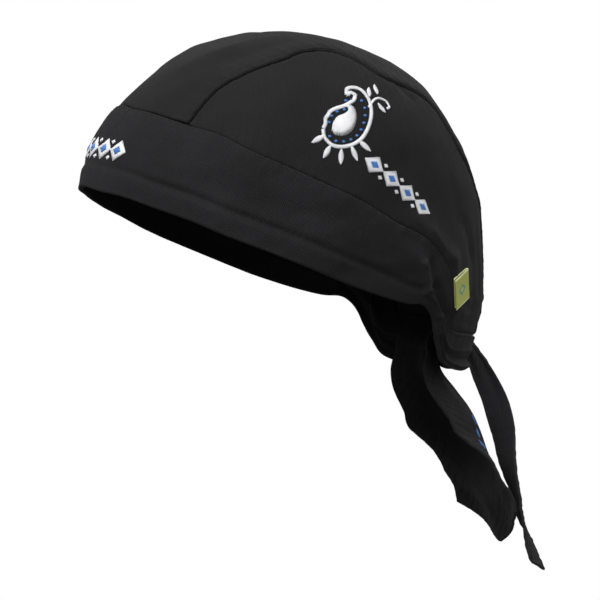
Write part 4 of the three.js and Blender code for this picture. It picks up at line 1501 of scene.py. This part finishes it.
def woven_label():
    material, tree, shader = new_material("label weave")
    weave = use_group(tree, twill, (-1100, -300), Ribs_per_metre=2100.0, Lean=0.0)
    uv = add_node(tree, "ShaderNodeUVMap", (-1400, 200), uv_map="cloth")
    split = add_node(tree, "ShaderNodeSeparateXYZ", (-1200, 200))
    feed(tree, split.inputs[0], uv.outputs[0])
    from_middle = maths(tree, "SUBTRACT", split.outputs[0], label_height * mm / 2, (-1000, 250))
    edge = maths(tree, "ABSOLUTE", from_middle, 0, (-850, 250))
    border = maths(tree, "GREATER_THAN", edge, (label_height / 2 - label_border) * mm, (-700, 250))
    middle = (label_full - 3) * mm * 0.27
    along = maths(tree, "SUBTRACT", split.outputs[1], middle, (-1000, 50))
    off = maths(tree, "ABSOLUTE", along, 0, (-850, 50))
    away = maths(tree, "ADD", edge, off, (-700, 50))
    diamond = maths(tree, "LESS_THAN", away, diamond_reach * mm, (-550, 50))
    core = maths(tree, "LESS_THAN", away, diamond_core * mm, (-550, -50))
    field = mix_colour(tree, weave.outputs["Rib"], (0.3, 0.33, 0.045, 1), yellow_green, (-500, 300))
    bordered = mix_colour(tree, border, field, (0.66, 0.7, 0.36, 1), (-300, 250))
    marked = mix_colour(tree, diamond, bordered, (0.1, 0.28, 0.2, 1), (-120, 200))
    fill(
        tree, shader,
        Base_Color=mix_colour(tree, core, marked, yellow_green, (50, 150)),
        Normal=bump(tree, (-300, -200), weave.outputs["Height"], 0.6, 0.00012),
        Roughness=0.62,
        Sheen_Weight=0.2,
    )
    return material


label.data.materials.append(woven_label())
print("label woven")

# %% [markdown]
# ## Studio
# Black cloth shows its form only by what it reflects, so large soft lamps and a bright surround do
# the work: a key in front of the brow, a fill at the left side, and air that is brighter above than
# below. The camera itself sees plain white air, as in a catalogue picture. The cap is shown where
# it is worn, so the floor lies well below it. Only the camera sees the floor, so it sends no light
# back up into the cap, and it is clear from beneath, where it would hide the cap's inside.


# %% Build the studio
lit_place = Vector((0, 0, -0.11))
floor_height = -1.6
floor_reach = 3


def lamp(name, azimuth, elevation, distance, size, power):
    """A round soft lamp: angles in degrees, distance and size in metres, power in watts."""
    a, e = math.radians(azimuth), math.radians(elevation)
    way = Vector((math.sin(a) * math.cos(e), -math.cos(a) * math.cos(e), math.sin(e)))
    data = bpy.data.lights.new(name, "AREA")
    data.shape = "DISK"
    data.size = size
    data.energy = power
    light = bpy.data.objects.new(name, data)
    light.location = lit_place + way * distance
    light.rotation_euler = way.to_track_quat("Z", "Y").to_euler()
    bpy.context.scene.collection.objects.link(light)


lamp("key", 36, 46, 1.7, 1.0, 28)
lamp("fill", 88, 17, 2.2, 1.2, 21)
lamp("rim", 205, 40, 1.8, 0.9, 4)

world = bpy.data.worlds.new("studio air")
bpy.context.scene.world = world
world.use_nodes = True
air = world.node_tree
seen = fill(air, air.nodes["Background"], Color=(1, 1, 1, 1), Strength=1.0)
way_out = add_node(air, "ShaderNodeTexCoord", (-900, -200))
upward = add_node(air, "ShaderNodeSeparateXYZ", (-700, -200))
feed(air, upward.inputs[0], way_out.outputs["Generated"])
brightness = ramp(
    air, (-500, -200), upward.outputs[2],
    From_Min=-0.7, From_Max=0.9, To_Min=0.15, To_Max=0.64,
)
lighting = fill(air, add_node(air, "ShaderNodeBackground", (-200, -200)), Strength=brightness)
ray = add_node(air, "ShaderNodeLightPath", (-500, 300))
airs = mix_shaders(air, (50, 0), ray.outputs["Is Camera Ray"], lighting.outputs[0], seen.outputs[0])
feed(air, air.nodes["World Output"].inputs[0], airs)
bpy.context.scene.view_settings.view_transform = "Standard"

corner_signs = ((-1, -1), (1, -1), (1, 1), (-1, 1))
floor_corners = [(floor_reach * x, floor_reach * y, floor_height) for x, y in corner_signs]
floor_mesh = bpy.data.meshes.new("floor")
floor_mesh.from_pydata(floor_corners, [], [(0, 1, 2, 3)])
floor = bpy.data.objects.new("floor", floor_mesh)
bpy.context.scene.collection.objects.link(floor)
pale, pale_tree, unused_shader = new_material("pale floor")
pale_tree.nodes.remove(unused_shader)
glow = add_node(pale_tree, "ShaderNodeEmission", (0, 200))
beneath = add_node(pale_tree, "ShaderNodeNewGeometry", (-300, 300))
clear = add_node(pale_tree, "ShaderNodeBsdfTransparent", (0, -300))
either = mix_shaders(pale_tree, (300, 100), beneath.outputs["Backfacing"], glow.outputs[0], clear.outputs[0])
feed(pale_tree, pale_tree.nodes["Material Output"].inputs[0], either)
floor_mesh.materials.append(pale)
floor.visible_diffuse = False
floor.visible_glossy = False
floor.visible_shadow = False
print("three lamps, white air and a floor")
